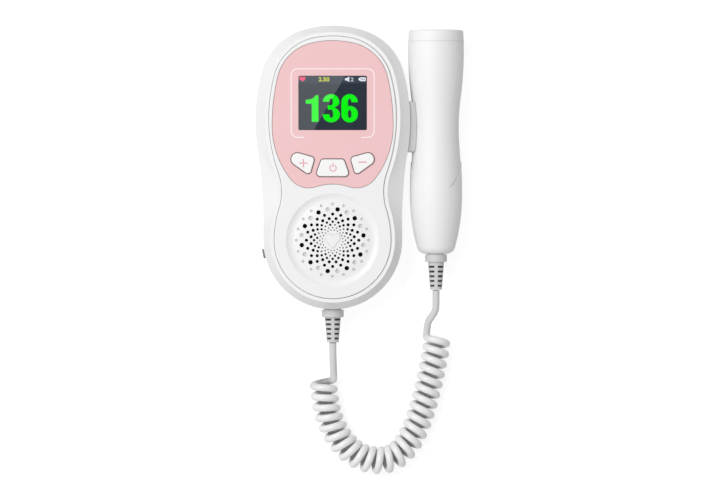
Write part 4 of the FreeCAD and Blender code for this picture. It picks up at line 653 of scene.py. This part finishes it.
def open_ring(x, y, z):
    """The power symbol's ring, open at its top."""
    shape = bmesh.new()
    ends = [shape.verts.new(Vector((x + reach * math.cos(RING_START),
                                    y + reach * math.sin(RING_START), z)) * MM)
            for reach in RING_REACH]
    bmesh.ops.spin(shape, geom=[*ends, shape.edges.new(ends)], cent=Vector((x, y, z)) * MM,
                   axis=(0, 0, 1), angle=RING_TURN, steps=RING_STEPS)
    return shape


dress(moulded("button_abs", paint(247, 247, 246), paint(243, 243, 242), 0.3), "plus_button",
      "power_button", "minus_button")
pink_ink = moulded("pink_ink", paint(232, 166, 176), paint(226, 160, 170), 0.35)
cap_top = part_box("power_button")[1].z / MM + PRINT_LIFT
piece("plus_sign", cross(*BUTTONS["plus_gap_shade"], cap_top, 2.15, 0.3), pink_ink,
      "plus_button")
piece("minus_sign", merged(plate(15.1, 2.5, cap_top, 4.2, 0.6)), pink_ink,
      "minus_button")
piece("power_sign", merged(open_ring(*RING_CENTRE, cap_top), plate(0.2, 1.05, cap_top, 0.55, 2.3)),
      pink_ink, "power_button")

# ---------------------------------------------------------------- screws
# Zinc-plated screws hold the covers, the board and the two halves of the probe. Each
# has a cross recess in its head, drawn as a flat dark cross of painted shade.

RECESS_REACH = 0.58
RECESS_HALF = 0.13
END_DEPTH = 0.05 * MM


def separate_solids(node):
    """The solids of a CAD piece, each as its points in metres."""
    shape = bmesh.new()
    shape.from_mesh(parts[node].data)
    bmesh.ops.remove_doubles(shape, verts=shape.verts, dist=TOUCHING)
    waiting = dict.fromkeys(shape.verts)
    solids = []
    while waiting:
        reached, spots = [waiting.popitem()[0]], []
        while reached:
            vertex = reached.pop()
            spots.append(vertex.co.copy())
            for edge in vertex.link_edges:
                other = edge.other_vert(vertex)
                if other in waiting:
                    del waiting[other]
                    reached.append(other)
        solids.append(spots)
    shape.free()
    return solids


def recess_shade_cross(spots):
    """A flat dark cross of painted shade for the cross recess, on the wider end of an upright
    screw, given by its points in metres. Its arms are shares of the head's radius."""
    (left, near, low), (right, far, high) = ([pick(spot[axis] for spot in spots)
                                              for axis in range(3)] for pick in (min, max))
    x, y = (left + right) / 2, (near + far) / 2
    foot, top = (max(math.hypot(spot.x - x, spot.y - y) for spot in spots
                     if abs(spot.z - level) < END_DEPTH) for level in (low, high))
    head = max(foot, top) / MM
    level = low / MM - PRINT_LIFT if foot > top else high / MM + PRINT_LIFT
    shape = cross(x / MM, y / MM, level, RECESS_REACH * head, RECESS_HALF * head)
    if foot > top:
        bmesh.ops.reverse_faces(shape, faces=shape.faces[:])
    return shape


dress(metal("zinc_plate", paint(178, 180, 182), 0.34), "case_screws", "board_screws",
      "probe_screws")
# Painted shade: the dark colour of the flat crosses on the screw heads.
recess_shade = metal("recess_shade", paint(46, 46, 48), 0.5)
for node, body in (("case_screws", "main_unit"), ("board_screws", "main_unit"),
                   ("probe_screws", "probe")):
    for number, spots in enumerate(separate_solids(node), 1):
        piece("%s_recess_%d" % (node, number), recess_shade_cross(spots), recess_shade,
              body)

# ---------------------------------------------------------------- dock
# The saddle on the side of the unit is a separate grey-white moulding. The probe's
# waist rests in it.

dress(moulded("dock_abs", paint(204, 203, 203), paint(198, 197, 197), 0.45), "probe_dock")

# ---------------------------------------------------------------- probe
# Two satin white half shells and a cap with the flat face that is laid on the skin.
# Inside, two half discs of piezo ceramic stand behind the cap. A seam curves round
# the side of the grip, where the smooth head meets it. A grey line of painted shade
# runs along the seam and thins out towards the front.

SEAM_START = 3.25 * MM
SEAM_DROP = 15.48 * MM
SEAM_POINTS = 11
SEAM_FIRST_ANGLE = 2.0
SEAM_STEP_ANGLE = 5.8
SEAM_WIDTH = 0.42 * MM
SEAM_LIFT = 0.05 * MM
SEAM_FADE = 0.7
OUTSIDE = 30 * MM

dress(moulded("probe_abs", grey(241), grey(238), 0.52, grain=0.3 * MM, depth=0.002 * MM),
      "probe_front_shell", "probe_back_shell", "probe_cap")
dress(metal("silvered_ceramic", paint(200, 190, 165), 0.4), "crystals")
dress(moulded("seal_silicone", grey(226), grey(218), 0.5), "probe_gasket")


def seam_line(shell, facing):
    """Points on a half shell, from the parting line at its side down towards its middle."""
    middle = middle_of("probe_cap")
    spots = []
    for step in range(SEAM_POINTS):
        angle = math.radians(SEAM_FIRST_ANGLE + SEAM_STEP_ANGLE * step)
        outward = Vector((math.cos(angle), 0, facing * math.sin(angle)))
        middle.y = SEAM_START - SEAM_DROP * math.sin(angle)
        found, spot, _, _ = parts[shell].ray_cast(middle + OUTSIDE * outward, -outward)
        if found:
            spots.append(spot + SEAM_LIFT * outward)
    return spots


# Painted shade: a grey line along the seam, thinning towards the front of the grip.
seam_grey = moulded("seam_grey", grey(150), grey(140), 0.6)
for name, shell, facing in (("front_seam_shade", "probe_front_shell", 1),
                            ("back_seam_shade", "probe_back_shell", -1)):
    thread(name, seam_line(shell, facing), SEAM_WIDTH, seam_grey, "probe",
           closed=False, fade=SEAM_FADE)

# ---------------------------------------------------------------- strain reliefs
# Soft grey-white PVC is moulded round the cord where it leaves the unit and the
# probe. Slots on both sides let the tail bend, and painted shade darkens them.

FIRST_SLOT = 1.5 * MM
SLOT_PITCH = 2.4 * MM
SLOT_WIDTH = 1.06 * MM
SLOT_FLOOR = 2.85 * MM
SLOT_TAPER = 0.085
SLOT_SLACK = 0.01 * MM


def relief_rubber(name, node):
    """Soft PVC with painted shade in the slots, which are counted from the foot of the relief."""
    finish = Finish(name)
    cloud = finish.grain(4 * MM)
    middle = middle_of(node)
    aside = finish.along("X") - middle.x
    up = finish.along("Y") - (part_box(node)[0].y + FIRST_SLOT)
    above = finish.along("Z") - middle.z
    reach = SLOT_FLOOR + SLOT_TAPER * up
    inside = aside * aside + above * above < reach * reach
    slot = (up % SLOT_PITCH < SLOT_WIDTH) * (up > -SLOT_SLACK)
    skin = finish.tint(cloud, paint(212, 211, 212), paint(205, 204, 205))
    # Painted shade: dark grey inside the slots.
    return finish.surface({"Base Color": finish.tint(inside * slot, skin, grey(84)),
                           "Roughness": 0.5 + 0.1 * cloud},
                          relief=cloud, depth=0.005 * MM)


dress(relief_rubber("relief_pvc_unit", "main_strain_relief"), "main_strain_relief")
dress(relief_rubber("relief_pvc_probe", "probe_strain_relief"), "probe_strain_relief")

# ---------------------------------------------------------------- cord
# One white PVC cord, 3.7 mm thick, runs from the unit to the probe. Most of it is a
# curly coil of 25 turns, 14.4 mm across, that lies on the table in a U.

CORD_RADIUS = 1.85
COIL_RADIUS = 7.2
COIL_LEVEL = 7.25
COIL_TURNS = 25
POINTS_PER_TURN = 24
AXIS_STEPS = 24
ROUTE_STEPS = 3
UNIT_LEAD = [(0.0, -89.0, 13.6), (0.0, -95.4, 12.5), (0.3, -102.2, 9.3), (0.5, -108.2, 7.25)]
COIL_AXIS = [(-4.9, -108.2), (-4.3, -118.4), (-1.5, -129.2), (3.5, -138.8), (10.6, -146.0),
             (19.8, -149.3), (29.2, -148.9), (36.4, -143.4), (41.6, -134.4), (45.3, -124.2),
             (48.2, -113.4), (50.6, -102.6), (52.6, -92.8), (53.0, -86.6)]
PROBE_LEAD = [(52.5, -62.4, 14.6), (52.5, -67.6, 14.1), (52.5, -73.2, 12.9),
              (48.4, -78.0, 10.4), (47.9, -83.0, 8.2), (47.8, -86.6, 7.25)]
CORD_ROUNDNESS = 5
LEAD_SLANT = 0.44
LEAD_RANGE = (-110 * MM, -104 * MM)
UNDERSIDE_SHADE_RANGE = (8 * MM, 3 * MM)


def metres(points):
    """Points in millimetres as vectors in metres."""
    return [Vector(spot) * MM for spot in points]


def smooth_line(name, points, steps, thickness=0.0):
    """A curve object that follows points in metres, round if it has a thickness."""
    curve = bpy.data.curves.new(name, "CURVE")
    curve.dimensions = "3D"
    curve.resolution_u = steps
    curve.bevel_depth = thickness / 2
    curve.bevel_resolution = CORD_ROUNDNESS
    curve.use_fill_caps = True
    spline = curve.splines.new("NURBS")
    spline.points.add(len(points) - 1)
    for knot, spot in zip(spline.points, points):
        knot.co = (*spot, 1.0)
    spline.order_u = 3
    spline.use_endpoint_u = True
    return bpy.data.objects.new(name, curve)


def made_mesh(drawn):
    """The mesh of a curve object, which is then removed."""
    mesh = bpy.data.meshes.new_from_object(drawn)
    bpy.data.objects.remove(drawn)
    return mesh


def read_points(line):
    """The points along a curve object that has no thickness."""
    mesh = made_mesh(line)
    spots = [vertex.co.copy() for vertex in mesh.vertices]
    bpy.data.meshes.remove(mesh)
    return spots


def curl(axis, radius, turns, per_turn):
    """Points of a helix about a level line, down first on the line's left side."""
    reach = [0.0]
    for before, after in zip(axis, axis[1:]):
        reach.append(reach[-1] + (after - before).length)
    spots = []
    leg = 0
    for number in range(turns * per_turn + 1):
        way = reach[-1] * number / (turns * per_turn)
        while leg < len(axis) - 2 and reach[leg + 1] < way:
            leg += 1
        heading = (axis[leg + 1] - axis[leg]).normalized()
        centre = axis[leg] + heading * (way - reach[leg])
        left = Vector((-heading.y, heading.x, 0))
        angle = -2 * math.pi * number / per_turn
        spots.append(centre + radius * (math.cos(angle) * left
                                        + math.sin(angle) * Vector((0, 0, 1))))
    return spots


def cord_jacket():
    """Soft PVC, greyer along its two leads, with painted shade on its underside near the table."""
    finish = Finish("cord_pvc")

    def rising(value, start, end):
        """0 before the start, 1 past the end, smooth between them."""
        return finish.node("MapRange", {"interpolation_type": "SMOOTHSTEP"},
                           {"Value": value, "From Min": start, "From Max": end,
                            "To Min": 0.0, "To Max": 1.0})

    handling = finish.grain(9 * MM, detail=3.0)
    pores = finish.grain(0.25 * MM)
    # The two leads are greyer than the coil.
    on_leads = rising(finish.along("Y") - LEAD_SLANT * finish.along("X"), *LEAD_RANGE)
    # Painted shade: darker towards the table, where the coil's underside lies in shade.
    painted_underside_shade = rising(finish.along("Z"), *UNDERSIDE_SHADE_RANGE)
    greyed = finish.tint(on_leads, finish.tint(handling, grey(242), grey(236)), grey(215))
    return finish.surface({"Base Color": finish.tint(painted_underside_shade, greyed, grey(158)),
                           "Roughness": 0.22 + 0.1 * handling, "IOR": PLASTIC_IOR},
                          relief=pores, depth=0.003 * MM)


coil_axis = read_points(smooth_line("coil_axis", metres((x, y, COIL_LEVEL) for x, y in COIL_AXIS),
                                    AXIS_STEPS))
coil = curl(coil_axis, (COIL_RADIUS - CORD_RADIUS) * MM, COIL_TURNS, POINTS_PER_TURN)
cord_route = metres(UNIT_LEAD[:-1]) + coil + metres(PROBE_LEAD[-2::-1])
cord_path = read_points(smooth_line("cord_path", cord_route, ROUTE_STEPS))
cord_mesh = made_mesh(smooth_line("cord_tube", cord_route, ROUTE_STEPS, 2 * CORD_RADIUS * MM))
cord_mesh.materials.clear()
cord_mesh.materials.append(cord_jacket())
for polygon in cord_mesh.polygons:
    polygon.use_smooth = True
cord = bpy.data.objects.new("curly_cord", cord_mesh)
bpy.context.scene.collection.objects.link(cord)
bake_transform(cord)
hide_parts("cord_lead_main", "cord_coil", "cord_lead_probe")
metres(UNIT_LEAD)[0]

# ---------------------------------------------------------------- table
# The object lies on a pale table, whose top looks like bright paper. From below the
# table is clear and lets light reach what lies on it, so that the backs can be seen.

TABLE_REACH = 3.0
TABLE_DROP = 0.2 * MM
PAPER_GLOW = 0.72
LIT_GAP = 22 * MM


def seen(wiring):
    """1 for rays from the camera, and for those that it sees in metal or through glass."""
    camera, mirror, glass = (wiring.node("LightPath", outlet=kind) for kind in (
        "Is Camera Ray", "Is Glossy Ray", "Is Transmission Ray"))
    return camera | mirror | glass


def table_top():
    """Matt grey that looks like bright paper, clear from below and to rays from close by."""
    finish = Finish("table_top")
    fibres = finish.grain(0.8 * MM, detail=3.0)
    paper = finish.node("BsdfDiffuse", {}, {"Color": finish.tint(fibres, grey(186), grey(180))})
    glow = finish.node("Emission", {}, {"Color": grey(255), "Strength": PAPER_GLOW})
    bright = finish.node("AddShader", {}, {0: paper, 1: glow})
    dull = finish.node("BsdfDiffuse", {}, {"Color": grey(160)})
    above = finish.node("MixShader", {}, {0: seen(finish), 1: dull, 2: bright})
    below = finish.node("NewGeometry", outlet="Backfacing")
    close = finish.node("LightPath", outlet="Ray Length") < LIT_GAP
    clear = finish.node("BsdfTransparent")
    either = finish.node("MixShader", {}, {0: below | close, 1: above, 2: clear})
    finish.node("OutputMaterial", {}, {"Surface": either})
    return finish.owner


top = bmesh.new()
bmesh.ops.create_grid(top, x_segments=1, y_segments=1, size=TABLE_REACH,
                      matrix=Matrix.Translation((0, 0, -TABLE_DROP)))
table = placed("table", top, table_top())

# ---------------------------------------------------------------- light
# Soft studio light: a large lamp up to the left, in a bright room that is a little
# brighter on that side. A small dark card hangs above the display, so that half of the
# lens mirrors it and the other half mirrors the room.

CARD_LEVEL = 320.0
CARD_CORNERS = ((6.9, 57.0), (24.0, 57.0), (24.0, 20.0), (-14.4, 20.0))
ROOM_STRENGTH = 0.645
ROOM_SLOPE = (-0.17, 0.0, 0.0)
LAMP_SIZE = 0.7
LAMP_POWER = 8.2
LAMP_PLACE = (-0.6, 0.36, 1.2)
LAMP_AIM = (0.01, -0.03, 0.0)

dark_card = placed("dark_card", cutout(CARD_LEVEL, *CARD_CORNERS),
                   black_plastic("card_black", 4, 0.9))
dark_card.visible_camera = dark_card.visible_diffuse = dark_card.visible_shadow = False

bpy.context.scene.world = bpy.data.worlds.new("room")
room = Wiring(bpy.context.scene.world)
around = room.node("TexCoord", outlet="Generated")
slope = room.node("VectorMath", {"operation": "DOT_PRODUCT"}, {0: around, 1: ROOM_SLOPE},
                  outlet="Value")
walls = room.node("Background", {}, {"Color": grey(255), "Strength": slope + ROOM_STRENGTH})
backdrop = room.node("Background", {}, {"Color": grey(255), "Strength": 1.0})
room.node("OutputWorld", {}, {"Surface": room.node("MixShader", {}, {
    0: seen(room), 1: walls, 2: backdrop})})

lamp_data = bpy.data.lights.new("softbox", "AREA")
lamp_data.size = LAMP_SIZE
lamp_data.energy = LAMP_POWER
lamp = bpy.data.objects.new("softbox", lamp_data)
lamp.location = LAMP_PLACE
lamp.rotation_euler = (Vector(LAMP_AIM) - lamp.location).to_track_quat("-Z", "Y").to_euler()
bpy.context.scene.collection.objects.link(lamp)

# ---------------------------------------------------------------- camera
# It looks straight down through a long lens. The whole view is 365 mm wide, measured
# 25 mm above the table.

VIEW_WIDTH = 0.365
VIEW_CENTRE = (0.01384, -0.04193)
VIEW_LEVEL = 0.025
CAMERA_HEIGHT = 3.0
SENSOR_WIDTH = 36.0

camera_data = bpy.data.cameras.new("camera")
camera_data.sensor_width = SENSOR_WIDTH
camera_data.lens = SENSOR_WIDTH * CAMERA_HEIGHT / VIEW_WIDTH
camera_data.clip_end = 20.0
camera = bpy.data.objects.new("camera", camera_data)
camera.location = (*VIEW_CENTRE, VIEW_LEVEL + CAMERA_HEIGHT)
bpy.context.scene.collection.objects.link(camera)
bpy.context.scene.camera = camera
bpy.context.scene.view_settings.view_transform = "Standard"
